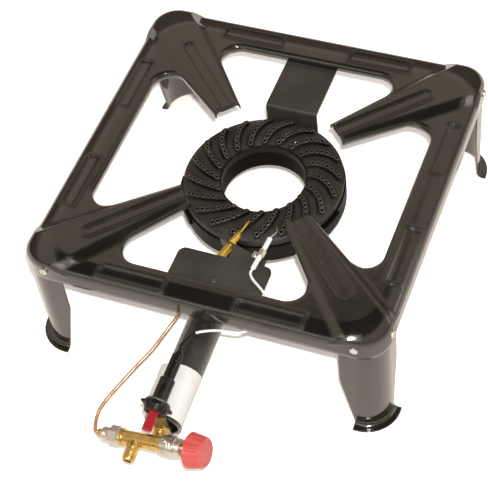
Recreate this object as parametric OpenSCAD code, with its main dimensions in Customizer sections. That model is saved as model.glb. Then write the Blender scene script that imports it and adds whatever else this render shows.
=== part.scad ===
// Propane burner stand: a pressed steel pan frame on four legs around a cast iron ring burner,
// with a mixing tube, a flame failure valve, a thermocouple and a push igniter.
// The origin is on the ring's axis at the floor. X runs right, Y away from the valve and Z up.

/* [Frame] */
// Outside width of the square frame
frame_w = 400; // [390:1:410]
// Height of the pan fingers above the floor
frame_h = 148; // [146:1:150]
// Outer corner radius seen from above
corner_r = 30; // [28:1:32]
// Width of each rail seen from above
rail_w = 36; // [35:0.5:37]
// How far the rails sit below the fingers
rail_drop = 5; // [4.5:0.5:5.5]
// Depth of the outer skirt below the rails
skirt_h = 18; // [17:0.5:19]
// Thickness of the pressed sheet
sheet_t = 1.6; // [1.4:0.1:1.8]
// Radius of the pressed edges
edge_r = 4.5; // [4:0.25:5]
// Distance of each finger's tip from the ring's axis
finger_a = 90; // [88:1:93]
// Outside width of a finger at its tip
finger_w = 31; // [30:0.5:33]
// Radius of the openings' corners
opening_r = 20; // [19:0.5:21]
// Width of the groove along a finger
groove_w = 15; // [14:0.5:16]
// Depth of the groove along a finger
groove_d = 1.5; // [1.2:0.1:1.8]
// Width of the troughs pressed into the rails
trough_w = 17; // [15:0.5:18]
// Depth of the troughs pressed into the rails
trough_d = 2.5; // [2:0.1:2.8]

/* [Legs] */
// Thickness of the leg sheet
leg_t = 1.8; // [1.6:0.1:2]
// Width of a leg from the frame's side to the edge of its wing
leg_w = 48; // [46:1:50]
// Reach of the turned out foot beyond the leg
foot_out = 9; // [8:0.5:10]

/* [Ring burner] */
// Outer radius of the cast base
ring_r = 90; // [89:0.5:91]
// Radius of the open middle
hole_r = 46.5; // [45:0.5:48]
// Number of ribs on the cap
ribs = 20; // [18:1:22]
// Number of flame ports along each rib
ports = 8; // [6:1:9]
// Diameter of a flame port
port_d = 2.2; // [2:0.1:2.4]
// Outer radius of the mixing tube
tube_r = 19; // [18.5:0.25:19.5]
// Angle by which the mixing tube dips toward the valve
tube_dip = 6; // [5.5:0.25:6.5]

/* [Valve] */
// Angle by which the valve is turned on the tube's axis
valve_roll = 12; // [11:0.5:13]
// Outer radius of the knob at the valve
knob_r = 18.5; // [17:0.5:20]
// Length of the knob
knob_l = 18.5; // [17:0.5:22]
// How far the knob pushes in to hold the flame valve open
push_travel = 3; // [2:0.5:3]

/* [Igniter] */
// Outer radius of the igniter's front half
igniter_r = 8; // [7.75:0.25:8.5]
// How far the red button presses in
press_travel = 6; // [4:0.5:6]

/* [Hidden] */
$fn = 64;

half = frame_w / 2;
half_in = half - rail_w;
rail_z = frame_h - rail_drop;
skirt_z = rail_z - skirt_h;
rail_flange_z = rail_z - 9;
finger_flange_z = frame_h - 9;
past = 1;
bite = 0.01;
nick = 0.005;

enamel = [0.09, 0.09, 0.09];
iron = [0.07, 0.07, 0.07];
steel = [0.72, 0.72, 0.70];
brass = [0.80, 0.62, 0.25];
copper = [0.80, 0.45, 0.30];
white = [0.93, 0.93, 0.90];
black = [0.05, 0.05, 0.05];
red = [0.80, 0.08, 0.10];

// ---- Shared helpers

module each_corner() {
    for (k = [0:3])
        rotate(45 + 90 * k)
            children();
}

module each_side() {
    for (k = [0:3])
        rotate(90 * k)
            children();
}

module both_sides() {
    children();
    mirror([0, 1, 0])
        children();
}

// Square seen from above with round corners
module round_square(h, r) {
    difference() {
        square(2 * h, center = true);
        for (k = [0:3])
            rotate(90 * k)
                translate([h - r, h - r])
                    difference() {
                        square(r + past);
                        circle(r);
                    }
    }
}

// What a round of radius r takes off a square edge at the origin, the solid being at -X -Y.
// The round's axis sits a hair nearer the edge, so that it crosses both faces cleanly.
module edge_cut(r) {
    difference() {
        translate([-r, -r])
            square(r + 2);
        translate([bite - r, bite - r])
            circle(r);
    }
}

// Slab between two heights whose top edge is rounded by re all round
module soft_slab(h, rc, re, z0, z1) {
    difference() {
        translate([0, 0, z0])
            linear_extrude(z1 - z0)
                round_square(h, rc);
        each_side()
            translate([h, 0, z1])
                rotate([90, 0, 0])
                    linear_extrude(2 * (h - rc), center = true)
                        edge_cut(re);
        each_side()
            translate([h - rc, h - rc, 0])
                rotate_extrude(angle = 90)
                    translate([rc, z1])
                        edge_cut(re);
    }
}

function unit(v) = v / norm(v);

// Points of a smooth curve through p, with n steps between each pair
function curve_at(a, b, c, d, t) =
    0.5 * (2 * b + (c - a) * t + (2 * a - 5 * b + 4 * c - d) * t * t
        + (3 * b - a - 3 * c + d) * t * t * t);
function curve(p, n) = [
    for (i = [0:len(p) - 2], j = [0:n - 1])
        curve_at(p[max(i - 1, 0)], p[i], p[i + 1], p[min(i + 2, len(p) - 1)], j / n),
    p[len(p) - 1]
];
function tangents(q) = [
    for (i = [0:len(q) - 1])
        unit(q[min(i + 1, len(q) - 1)] - q[max(i - 1, 0)])
];
function normals(t, i, n) =
    i == len(t) ? [] :
    let (m = unit(n - (n * t[i]) * t[i]))
    concat([m], normals(t, i + 1, m));

// Round wire of radius r swept through the points q, with the given number of sides
module wire(q, r, sides) {
    t = tangents(q);
    m = normals(t, 0, unit(cross(t[0], [0.3, 0.5, 1])));
    n = len(q);
    pts = [
        for (i = [0:n - 1], k = [0:sides - 1])
            q[i] + r * (cos(360 * k / sides) * m[i] + sin(360 * k / sides) * cross(t[i], m[i]))
    ];
    walls = [
        for (i = [0:n - 2], k = [0:sides - 1])
            let (a = i * sides + k, b = i * sides + (k + 1) % sides)
            each [[a, a + sides, b + sides], [a, b + sides, b]]
    ];
    ends = [
        [for (k = [0:sides - 1]) k],
        [for (k = [sides - 1:-1:0]) (n - 1) * sides + k]
    ];
    polyhedron(pts, concat(walls, ends), convexity = 6);
}

// Coil of wire about +X from x0 to x1
module coil(x0, x1, r, wire_r, turns, sides) {
    steps = turns * 12;
    q = [
        for (i = [0:steps])
            [x0 + (x1 - x0) * i / steps, r * cos(360 * turns * i / steps),
                r * sin(360 * turns * i / steps)]
    ];
    wire(q, wire_r, sides);
}

module along_x(r, x0, x1) {
    translate([x0, 0, 0])
        rotate([0, 90, 0])
            cylinder(r = r, h = x1 - x0);
}

module cone_x(r0, r1, x0, x1) {
    translate([x0, 0, 0])
        rotate([0, 90, 0])
            cylinder(r1 = r0, r2 = r1, h = x1 - x0);
}

// Cylinder out along the tube, from s0 to s1
module along_s(r, s0, s1) {
    translate([0, -s0, 0])
        rotate([90, 0, 0])
            cylinder(r = r, h = s1 - s0);
}

module cone_s(r0, r1, s0, s1) {
    translate([0, -s0, 0])
        rotate([90, 0, 0])
            cylinder(r1 = r0, r2 = r1, h = s1 - s0);
}

module hex_s(af, s0, s1) {
    translate([0, -s0, 0])
        rotate([90, 0, 0])
            cylinder(d = af / cos(30), h = s1 - s0, $fn = 6);
}

module hex_x(af, x0, x1) {
    translate([x0, 0, 0])
        rotate([0, 90, 0])
            cylinder(d = af / cos(30), h = x1 - x0, $fn = 6);
}

// ---- Pressed frame
// Corner frame: X runs out along a finger and Y across it

finger_m = 0.125;
finger_turn = atan(finger_m);
finger_slant = sqrt(1 + finger_m * finger_m);
finger_c = finger_w / 2 - finger_m * finger_a;
function finger_half(u) = finger_c + finger_m * u;

crest_m = 0.092;
crest_turn = atan(crest_m);
crest_w = 9.5;
function crest_half(u) = crest_w + crest_m * (u - finger_a);
step_k = rail_drop / 9.5;
step_tilt = atan(step_k);
far = half * 1.6;

diag_in = sqrt(2) * half_in;
web_u = (diag_in - sqrt(2) * opening_r - finger_c - opening_r * finger_slant) / (1 + finger_m);
web_v = diag_in - sqrt(2) * opening_r - web_u;
web_c = [web_u, web_v];
finger_normal = [finger_m, -1] / finger_slant;
rail_normal = [1, 1] / sqrt(2);
web_arc = 45 + atan(1 / finger_m);
rail_run = (web_u - web_v) / sqrt(2);
// The openings' corners are a hair too wide and their bends run past both ends,
// so that they cross the straight edges cleanly
web_r = opening_r + nick;
web_over = 6.5;

// The side of the pressed wedge that slopes down from the finger's crest
module slope_cut(o) {
    translate([finger_a, crest_w, frame_h])
        rotate([0, 0, crest_turn])
            rotate([-step_tilt, 0, 0])
                translate([-half, 0, -o])
                    cube([far + half, half, half]);
}

module wedge(o) {
    difference() {
        translate([finger_a / 2, -half / 2, 0])
            cube([far, half, frame_h + past]);
        both_sides()
            slope_cut(o);
    }
}

// Finger outline with the webs that join it to the rails
module finger_outline(o) {
    tip = o > 0 ? finger_a - 5 : finger_a;
    w = finger_half(tip) - o * finger_slant;
    t1 = web_c + finger_normal * (opening_r + o);
    t2 = web_c + rail_normal * (opening_r + o);
    t3 = t2 + rail_normal * 5;
    side = [[tip, w], t1, web_c, t2, t3];
    other = [[t3[0], -t3[1]], [t2[0], -t2[1]], [web_u, -web_v], [t1[0], -t1[1]], [tip, -w]];
    difference() {
        polygon(concat(side, [[diag_in + 12, 0]], other));
        translate(web_c)
            circle(web_r + o);
        translate([web_u, -web_v])
            circle(web_r + o);
    }
}

// Height of the axis that the finger's edge is bent about, which both faces of the sheet share
function edge_axis_v(u) = finger_half(u) - edge_r * finger_slant;
function edge_axis_z(u) =
    frame_h - (edge_axis_v(u) - crest_half(u)) * cos(crest_turn) * step_k - edge_r / cos(step_tilt);

// What the bend takes off a sloping edge, the bend's axis being the origin
module slope_edge_cut(r) {
    difference() {
        polygon([
            [0, 0], [2 * r, 0], [2 * r, 2 * r],
            [2 * r * sin(step_tilt), 2 * r * cos(step_tilt)]
        ]);
        circle(r + bite);
    }
}

// Rounds the straight edge of a finger
module finger_edge_cut(o) {
    u0 = finger_a - 6;
    fall = atan((finger_m - crest_m) * cos(crest_turn) * step_k / finger_slant);
    run = (web_u + finger_normal[0] * opening_r - u0) * finger_slant;
    translate([u0, edge_axis_v(u0), edge_axis_z(u0)])
        rotate([0, fall, finger_turn])
            rotate([90, 0, 90])
                linear_extrude(run)
                    slope_edge_cut(edge_r - o);
}

// Rounds the finger's slope where the opening's corner runs through it
module web_slope_cut(o) {
    u1 = web_u + finger_normal[0] * (opening_r + edge_r);
    translate(web_c)
        rotate(atan2(finger_normal[1], finger_normal[0]) - web_over)
            rotate_extrude(angle = 75 + web_over)
                translate([web_r + edge_r, edge_axis_z(u1)])
                    mirror([1, 0])
                        slope_edge_cut(edge_r - o);
}

// Rounds the rails' level where the opening's corner runs through it
module web_edge_cut(o) {
    translate(web_c)
        rotate(atan2(finger_normal[1], finger_normal[0]))
            rotate_extrude(angle = web_arc + web_over)
                translate([web_r + o, rail_z - o])
                    mirror([1, 0])
                        edge_cut(edge_r - o);
}

module rail_edge_cut(o) {
    translate([half_in + o, 0, rail_z - o])
        rotate([90, 0, 0])
            linear_extrude(2 * rail_run, center = true)
                mirror([1, 0])
                    edge_cut(edge_r - o);
}

module opening(o) {
    difference() {
        translate([0, 0, -past])
            linear_extrude(frame_h + 2 * past)
                square(2 * (half_in + o), center = true);
        each_corner()
            translate([0, 0, -2 * past])
                linear_extrude(frame_h + 4 * past)
                    finger_outline(o);
    }
}

trough_from = 40;
trough_len = 72;
trough_at = 17;

// Trough pressed into a rail, cut from both faces of the sheet
module trough(o) {
    w = trough_w / 2 + o;
    for (y = [trough_from - o, -trough_from - trough_len - o])
        translate([half - trough_at, y, rail_z - o])
            rotate([90, 0, 180])
                linear_extrude(trough_len + 2 * o)
                    polygon([[-w - 2, 2], [w + 2, 2], [w - trough_d, -trough_d], [trough_d - w, -trough_d]]);
}

groove_end = 208;

module groove(o) {
    w = groove_w / 2 + o;
    u1 = groove_end - groove_w / 2;
    translate([finger_a - 8, 0, frame_h - o])
        rotate([90, 0, 90])
            linear_extrude(u1 - finger_a + 8)
                polygon([[-w - 1, 1], [w + 1, 1], [w - groove_d, -groove_d], [groove_d - w, -groove_d]]);
    translate([u1, 0, frame_h - o - groove_d])
        cylinder(r1 = w - groove_d, r2 = w + 1, h = groove_d + 1);
}

// Solid bounded by the face of the sheet that lies o below its outer face
module pressed(o) {
    low = skirt_z - (o > 0 ? past : 0);
    difference() {
        union() {
            difference() {
                soft_slab(half - o, corner_r - o, edge_r - o, low, rail_z - o);
                each_side()
                    rail_edge_cut(o);
                each_corner()
                    both_sides()
                        web_edge_cut(o);
            }
            difference() {
                intersection() {
                    soft_slab(half - o, corner_r - o, edge_r - o, low, frame_h - o);
                    each_corner()
                        wedge(o);
                }
                each_corner()
                    both_sides()
                        web_slope_cut(o);
            }
        }
        opening(o);
        each_corner()
            both_sides()
                finger_edge_cut(o);
        each_side()
            trough(o);
        each_corner()
            groove(o);
    }
}

// Trims the flange along the fingers, rising from the rails' flange round each corner
module finger_trim() {
    low = skirt_z - past;
    u1 = web_u + finger_normal[0] * opening_r;
    u2 = u1 + opening_r * (finger_flange_z - low) / (finger_flange_z - rail_flange_z);
    rotate([90, 0, 0])
        linear_extrude(2 * web_v, center = true)
            polygon([[0, low], [u2, low], [u1, finger_flange_z], [0, finger_flange_z]]);
}

screw_at = half - corner_r;
screw_z = frame_h - 9.5;
screw_hole_r = 2.7;
screw_r = 2.4;

// Places children at the two screws of each corner, X pointing out of the frame
module at_leg_screws() {
    for (k = [0:3])
        rotate(90 * k)
            for (y = [-screw_at, screw_at])
                translate([half, y, screw_z])
                    children();
}

module top_frame() {
    color(enamel)
        difference() {
            pressed(0);
            pressed(sheet_t);
            translate([0, 0, skirt_z - past])
                linear_extrude(rail_flange_z - skirt_z + past)
                    round_square(half - 12, corner_r - 12);
            each_corner()
                finger_trim();
            at_leg_screws()
                along_x(screw_hole_r, -5, 5);
        }
}

// ---- Legs

leg_top = frame_h - 6.5;
leg_face = half - sheet_t;
leg_c = half - corner_r;
leg_r = corner_r - sheet_t;
foot_r = 6;
leg_in = half - leg_w;
wing_foot = leg_in + 14;
taper_z = 77;

// Section of the sheet: upright, bend and turned out foot, X outward from the leg's face
module leg_section() {
    translate([-leg_t, foot_r + leg_t])
        square([leg_t, leg_top - foot_r - leg_t]);
    intersection() {
        translate([foot_r, foot_r + leg_t])
            difference() {
                circle(foot_r + leg_t);
                circle(foot_r);
            }
        translate([-leg_t, 0])
            square([foot_r + leg_t, foot_r + leg_t]);
    }
    translate([foot_r, 0])
        square([foot_out - foot_r, leg_t]);
}

// What is cut off a wing so that it narrows toward the foot
module wing_cut() {
    translate([0, leg_face + foot_out + past, 0])
        rotate([90, 0, 0])
            linear_extrude(foot_out + leg_t + 2 * past)
                polygon([
                    [leg_in - 20, -past], [wing_foot, -past], [wing_foot, 5],
                    [leg_in, taper_z], [leg_in, leg_top + past], [leg_in - 20, leg_top + past]
                ]);
}

// Leg of the corner at +X +Y
module leg() {
    difference() {
        union() {
            translate([leg_c, leg_c, 0])
                rotate_extrude(angle = 90)
                    translate([leg_r, 0])
                        leg_section();
            translate([leg_in - past, leg_face, 0])
                rotate([90, 0, 90])
                    linear_extrude(leg_c - leg_in + past)
                        leg_section();
            translate([leg_face, leg_c, 0])
                rotate([90, 0, 0])
                    linear_extrude(leg_c - leg_in + past)
                        leg_section();
        }
        wing_cut();
        mirror([1, -1, 0])
            wing_cut();
        translate([0, 0, screw_z])
            for (a = [0, 1])
                mirror([a, -a, 0])
                    translate([half, screw_at, 0])
                        along_x(screw_hole_r, -10, 5);
    }
}

module leg_rear_right() {
    color(enamel)
        leg();
}

module leg_rear_left() {
    color(enamel)
        rotate(90)
            leg();
}

module leg_front_left() {
    color(enamel)
        rotate(180)
            leg();
}

module leg_front_right() {
    color(enamel)
        rotate(270)
            leg();
}

head_r = 4.2;
head_h = 2.6;
nut_t = 3.2;
nut_corner = 4 / cos(30);
leg_inner_r = leg_r - leg_t;
nut_lift = leg_inner_r - sqrt(leg_inner_r * leg_inner_r - nut_corner * nut_corner) + 0.02;
nut_x1 = -sheet_t - leg_t - nut_lift;
screw_end = nut_t + 2 - nut_x1;

module leg_screws() {
    color(steel)
        at_leg_screws()
            rotate([0, 90, 0])
                pan_screw(screw_r, head_r, head_h, screw_end);
}

module leg_nuts() {
    color(steel)
        at_leg_screws()
            difference() {
                hex_x(8, nut_x1 - nut_t, nut_x1);
                along_x(screw_r, -screw_end - past, 0);
            }
}

// ---- Brackets that hold the burner

plate_t = 2;
strap_w = 60;
drop_y = ring_r + 2.5;
bend_r = 3;
base_z = frame_h - 60;
shelf_in = 58;
tab_z = rail_flange_z + 4;

// Bend of sheet from +X to +Y about the origin
module bend(r, t) {
    intersection() {
        difference() {
            circle(r + t);
            circle(r);
        }
        square(r + t);
    }
}

// Side view of the rear strap: X is the frame's Y
module strap_section() {
    top = rail_flange_z - plate_t;
    translate([drop_y + plate_t + bend_r, top])
        square([leg_face - drop_y - plate_t - bend_r, plate_t]);
    translate([drop_y + plate_t + bend_r, top - bend_r])
        mirror([1, 0])
            bend(bend_r, plate_t);
    translate([drop_y, base_z + bend_r])
        square([plate_t, top - base_z - 2 * bend_r]);
    translate([drop_y - bend_r, base_z + bend_r])
        mirror([0, 1])
            bend(bend_r, plate_t);
    translate([shelf_in, base_z - plate_t])
        square([drop_y - bend_r - shelf_in, plate_t]);
    translate([leg_face - plate_t, top])
        square([plate_t, tab_z - top]);
}

shelf_screw_x = 14;
shelf_screw_y = 67.5;

module rear_bracket() {
    color(enamel)
        difference() {
            translate([-strap_w / 2, 0, 0])
                rotate([90, 0, 90])
                    linear_extrude(strap_w)
                        strap_section();
            for (x = [-shelf_screw_x, shelf_screw_x])
                translate([x, shelf_screw_y, base_z - 4])
                    cylinder(r = screw_hole_r, h = 6);
        }
}

plate_x0 = -46;
plate_x1 = 58;
plate_y1 = 76 - half;
plate_z = rail_flange_z - plate_t;
plate_corner = 8;
lug_x = 4;
lug_y = 43.5 - half;

module front_plate() {
    color(enamel) {
        difference() {
            translate([0, 0, plate_z])
                linear_extrude(plate_t)
                    difference() {
                        translate([plate_x0, -leg_face])
                            square([plate_x1 - plate_x0, plate_y1 + leg_face]);
                        translate([plate_x0 + plate_corner, plate_y1 - plate_corner])
                            rotate(90)
                                difference() {
                                    square(plate_corner + past);
                                    circle(plate_corner);
                                }
                        translate([plate_x1 - plate_corner, plate_y1 - plate_corner])
                            difference() {
                                square(plate_corner + past);
                                circle(plate_corner);
                            }
                    }
            translate([lug_x, lug_y, plate_z - past])
                cylinder(r = screw_hole_r, h = plate_t + 2 * past);
            for (x = rivet_xs)
                translate([x, rivet_y, plate_z - past])
                    cylinder(r = rivet_r, h = plate_t + 2 * past);
        }
        translate([plate_x0, -leg_face, plate_z])
            cube([plate_x1 - plate_x0, plate_t, tab_z - plate_z]);
    }
}

// Pan head screw down -Z from the origin
module pan_screw(r, hr, hh, len) {
    difference() {
        union() {
            translate([0, 0, -len])
                cylinder(r = r, h = len + past);
            intersection() {
                cylinder(r = hr, h = hh);
                translate([0, 0, hh - 1.6 * hr])
                    sphere(1.6 * hr);
            }
        }
        translate([-hr - past, -0.5, hh - 0.9])
            cube([2 * hr + 2 * past, 1, 2]);
    }
}

module plate_screw() {
    color(steel)
        translate([lug_x, lug_y, rail_flange_z])
            pan_screw(screw_r, head_r, head_h, 14);
}

module bracket_screws() {
    color(steel)
        for (x = [-shelf_screw_x, shelf_screw_x])
            translate([x, shelf_screw_y, base_z - plate_t])
                mirror([0, 0, 1])
                    pan_screw(screw_r, head_r, head_h, 12);
}

// ---- Ring burner
// Tube frame: X right, -Y out along the mixing tube, Z up across it

tube_y = 18 - half;
tube_z = frame_h - 57;
tube_bore_r = 16;
mouth_s = 121.5;
rim_s = 119;
rim_r = 19.8;
wall_t = 4.5;
neck_s = (tube_y + ring_r - wall_t + 1) / cos(tube_dip);
neck_end_s = neck_s + 32;
neck_r = 11;
neck_bore_r = 8;

module tube_frame() {
    translate([0, tube_y, tube_z])
        rotate([tube_dip, 0, 0])
            children();
}

joint_z = frame_h - 38;
floor_t = 5;
ring_mid = (ring_r + hole_r) / 2;
cap_screw_angles = [60, 180, 300];
boss_r = 6;
lug_h = 10;

module base_ring() {
    rotate_extrude()
        polygon([
            [hole_r, base_z], [ring_r, base_z], [ring_r, joint_z], [ring_r - wall_t, joint_z],
            [ring_r - wall_t, base_z + floor_t], [hole_r + wall_t, base_z + floor_t],
            [hole_r + wall_t, joint_z], [hole_r, joint_z]
        ]);
    for (a = [-48, 188])
        rotate(a)
            rotate_extrude(angle = 40)
                translate([ring_r - past, joint_z - 12])
                    square([past + 3, lug_h]);
    for (a = cap_screw_angles)
        rotate(a)
            translate([ring_mid, 0, base_z + floor_t - past])
                cylinder(r = boss_r, h = joint_z - base_z - floor_t + past);
    for (x = [-shelf_screw_x, shelf_screw_x])
        translate([x, shelf_screw_y, base_z + floor_t - past])
            cylinder(r = boss_r, h = 10);
}

module burner_base() {
    color(iron)
        difference() {
            union() {
                base_ring();
                difference() {
                    tube_frame() {
                        cone_s(neck_r, tube_r, neck_s, neck_end_s);
                        along_s(tube_r, neck_end_s - 0.01, rim_s);
                        along_s(rim_r, rim_s - 0.01, mouth_s);
                    }
                    translate([0, 0, joint_z])
                        cylinder(r = ring_r, h = 20);
                }
                translate([lug_x, lug_y, tube_z + 2])
                    cylinder(r = 8, h = plate_z - tube_z - 2);
            }
            tube_frame() {
                along_s(neck_bore_r, neck_s - 9, neck_s + past);
                cone_s(neck_bore_r, tube_bore_r, neck_s, neck_end_s);
                along_s(tube_bore_r, neck_end_s - 0.01, mouth_s + past);
                cone_s(tube_bore_r, tube_bore_r + 0.8, mouth_s - 0.8, mouth_s + 0.01);
                at_bridge_screws()
                    along_s(bridge_screw_r, mouth_s - 8, mouth_s + past);
            }
            translate([lug_x, lug_y, plate_z - 13])
                cylinder(r = screw_r, h = 14);
            for (x = [-shelf_screw_x, shelf_screw_x])
                translate([x, shelf_screw_y, base_z - past])
                    cylinder(r = screw_r, h = 11);
            for (a = cap_screw_angles)
                rotate(a)
                    translate([ring_mid, 0, base_z - past])
                        cylinder(r = 2.3, h = joint_z - base_z + 2 * past);
        }
}

cap_r = ring_r - 1.5;
cap_edge_z = frame_h - 29.5;
crest_z = frame_h - 23.5;
cap_wall = 4;
rib_h = 2.8;
rib_w = 6.2;
rib_swell = 0.04;
rib_in = hole_r + 4.5;
rib_out = cap_r - 5.5;
rib_sweep = 20.5;
cap_mid = (cap_r + hole_r) / 2;
cap_span = (cap_r - hole_r) / 2;
dome_rise = crest_z - cap_edge_z;
dome_r = (cap_span * cap_span + dome_rise * dome_rise) / (2 * dome_rise);
dome_z = crest_z - dome_r;

// Section of a domed ring from radius a to b under a dome raised by h
module dome_section(a, b, z0, h) {
    intersection() {
        translate([cap_mid, dome_z])
            circle(dome_r + h, $fn = 180);
        translate([a, z0])
            square([b - a, crest_z + 10 - z0]);
    }
}

// Arc that a rib follows: through its inner end, its middle and its outer end
rib_p0 = [rib_in, 0];
rib_p1 = [rib_out * cos(rib_sweep), -rib_out * sin(rib_sweep)];
rib_chord = norm(rib_p1 - rib_p0);
rib_bow = 4;
rib_arc_r = (rib_chord * rib_chord / 4 + rib_bow * rib_bow) / (2 * rib_bow);
rib_dir = (rib_p1 - rib_p0) / rib_chord;
rib_side = [-rib_dir[1], rib_dir[0]];
rib_c = (rib_p0 + rib_p1) / 2 - rib_side * (rib_arc_r - rib_bow);
rib_a0 = atan2(rib_p0[1] - rib_c[1], rib_p0[0] - rib_c[0]);
rib_a1 = atan2(rib_p1[1] - rib_c[1], rib_p1[0] - rib_c[0]);
function rib_point(t) = rib_c + rib_arc_r * [cos(rib_a0 + (rib_a1 - rib_a0) * t),
    sin(rib_a0 + (rib_a1 - rib_a0) * t)];

// One rib seen from above. Its ends are a hair fatter than its sides, so that they cross cleanly.
module rib_outline() {
    intersection() {
        translate(rib_c)
            difference() {
                circle(rib_arc_r + rib_w / 2, $fn = 180);
                circle(rib_arc_r - rib_w / 2, $fn = 180);
            }
        polygon([rib_c, rib_c + 3 * (rib_p0 - rib_c), rib_c + 3 * (rib_p1 - rib_c)]);
    }
    translate(rib_p0)
        circle(rib_w / 2 + rib_swell);
    translate(rib_p1)
        circle(rib_w / 2 + rib_swell);
}

module burner_cap() {
    color(iron)
        difference() {
            union() {
                rotate_extrude($fn = 128)
                    difference() {
                        dome_section(hole_r, cap_r, joint_z, 0);
                        dome_section(hole_r + wall_t, cap_r - wall_t, joint_z - past, -cap_wall);
                    }
                intersection() {
                    translate([0, 0, crest_z - 8])
                        linear_extrude(20)
                            for (k = [0:ribs - 1])
                                rotate(360 * k / ribs)
                                    rib_outline();
                    rotate_extrude($fn = 128)
                        difference() {
                            dome_section(hole_r + 1, cap_r - 1, joint_z + 2, rib_h);
                            dome_section(hole_r, cap_r, joint_z, -cap_wall / 2);
                        }
                }
                for (a = cap_screw_angles)
                    rotate(a)
                        translate([ring_mid, 0, joint_z])
                            cylinder(r = boss_r, h = 12);
            }
            for (k = [0:ribs - 1])
                rotate(360 * k / ribs)
                    for (i = [0:ports - 1])
                        translate(rib_point(i / (ports - 1)))
                            translate([0, 0, joint_z + 5])
                                cylinder(d = port_d, h = 20, $fn = 24);
            for (a = cap_screw_angles)
                rotate(a)
                    translate([ring_mid, 0, joint_z - past])
                        cylinder(r = 2, h = 9);
        }
}

module cap_screws() {
    color(steel)
        for (a = cap_screw_angles)
            rotate(a)
                translate([ring_mid, 0, base_z])
                    mirror([0, 0, 1])
                        pan_screw(2, 3.5, 2.2, joint_z - base_z + 7);
}

sleeve_s0 = 61;
sleeve_t = 0.5;

module label_sleeve() {
    color(white)
        tube_frame()
            difference() {
                along_s(tube_r + sleeve_t, sleeve_s0, rim_s);
                along_s(tube_r, sleeve_s0 - past, rim_s + past);
            }
}

// ---- Sensors

tc_foot = [-5, 79 - half, frame_h - 25];
tc_tip = [10.4, -68.8, 130];
tc_dir = unit(tc_tip - tc_foot);
tc_len = norm(tc_tip - tc_foot);
tc_flange = 21;

// Thermocouple frame: Z along the probe from its foot
module tc_frame() {
    translate(tc_foot)
        rotate([0, acos(tc_dir[2]), atan2(tc_dir[1], tc_dir[0])])
            children();
}

bracket_x0 = 7;
bracket_x1 = 47;
bracket_y0 = 58 - half;
flange_t = 2;
flange_at = 19;
flange_x0 = -11;
flange_x1 = 24;
flange_z0 = frame_h - 31;
tc_neck_r = 3;
tc_hole_r = 3.1;

// Plate under the front plate, turned down square to the probe
module sensor_bracket() {
    low = plate_z - plate_t;
    color(enamel)
        difference() {
            union() {
                intersection() {
                    translate([bracket_x0, bracket_y0, low])
                        cube([bracket_x1 - bracket_x0, 60, plate_t]);
                    tc_frame()
                        translate([-100, -100, -60])
                            cube([200, 200, 60 + flange_at + flange_t]);
                }
                intersection() {
                    tc_frame()
                        translate([-50, -50, flange_at])
                            cube([100, 100, flange_t]);
                    translate([flange_x0, bracket_y0, flange_z0])
                        cube([flange_x1 - flange_x0, 60, plate_z - flange_z0]);
                }
            }
            tc_frame()
                cylinder(r = tc_hole_r, h = 40);
            translate([clamp_x, clamp_y, low - past])
                cylinder(r = clamp_screw_r, h = plate_t + 2 * past);
            for (x = rivet_xs)
                translate([x, rivet_y, low - past])
                    cylinder(r = rivet_r, h = plate_t + 2 * past);
        }
}

rivet_xs = [18, 30];
rivet_y = 66 - half;
rivet_r = 1.6;

module bracket_rivets() {
    color(enamel)
        for (x = rivet_xs)
            translate([x, rivet_y, 0]) {
                translate([0, 0, plate_z - plate_t - 1.2])
                    cylinder(r = 2.8, h = 1.2);
                translate([0, 0, plate_z - plate_t - 0.2])
                    cylinder(r = rivet_r, h = 2 * plate_t + 0.2);
            }
}

module thermocouple() {
    color(brass)
        tc_frame()
            difference() {
                union() {
                    cylinder(r = 3.4, h = 2.01);
                    translate([0, 0, 2])
                        cylinder(r = 4.5, h = flange_at - 2);
                    translate([0, 0, flange_at - 0.01])
                        cylinder(r = tc_neck_r, h = 12);
                    translate([0, 0, 27])
                        cylinder(r = 3.6, h = 7);
                    translate([0, 0, 33.99])
                        cylinder(r1 = 3.6, r2 = 1.3, h = 5);
                    translate([0, 0, 38.98])
                        cylinder(r = 1.3, h = 11.03);
                    translate([0, 0, 50])
                        cylinder(r1 = 1.3, r2 = 0.5, h = tc_len - 50);
                }
                translate([0, 0, -past])
                    cylinder(r = lead_r, h = 6 + past);
            }
}

module thermocouple_nut() {
    color(brass)
        tc_frame()
            translate([0, 0, flange_at + flange_t])
                difference() {
                    cylinder(d = 8 / cos(30), h = 4.3, $fn = 6);
                    translate([0, 0, -past])
                        cylinder(r = tc_neck_r, h = 8);
                }
}

ceramic_z = frame_h - 10.5;
ceramic_0 = [38.8, 67 - half, ceramic_z];
ceramic_1 = [42.4, 110 - half, ceramic_z];
ceramic_r = 2.75;
ceramic_len = norm(ceramic_1 - ceramic_0);
ceramic_turn = atan2(ceramic_1[1] - ceramic_0[1], ceramic_1[0] - ceramic_0[0]);
clamp_t = 21;
clamp_x = 33.4;
clamp_y = 87.8 - half;

// Electrode frame: X along the ceramic from its cable end
module electrode_frame() {
    translate(ceramic_0)
        rotate(ceramic_turn)
            children();
}

core_r = 0.8;

module electrode_ceramic() {
    color(white)
        electrode_frame()
            difference() {
                union() {
                    along_x(ceramic_r, 0.6, ceramic_len - 0.6);
                    cone_x(ceramic_r - 0.6, ceramic_r, 0, 0.6);
                    cone_x(ceramic_r, ceramic_r - 0.6, ceramic_len - 0.6, ceramic_len);
                }
                along_x(core_r, -past, ceramic_len + past);
            }
}

electrode_route = [
    ceramic_1 - 20 * unit(ceramic_1 - ceramic_0), ceramic_1, [43.4, -86, 137.4],
    [45.2, -81, 136.6], [44.8, -76, 134.5], [41.2, -68.5, 130.5]
];

module electrode_wire() {
    color(steel)
        wire(curve(electrode_route, 4), core_r, 8);
}

clamp_screw_r = 1.8;
clip_t = 1.1;
clip_half = 4;

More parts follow.
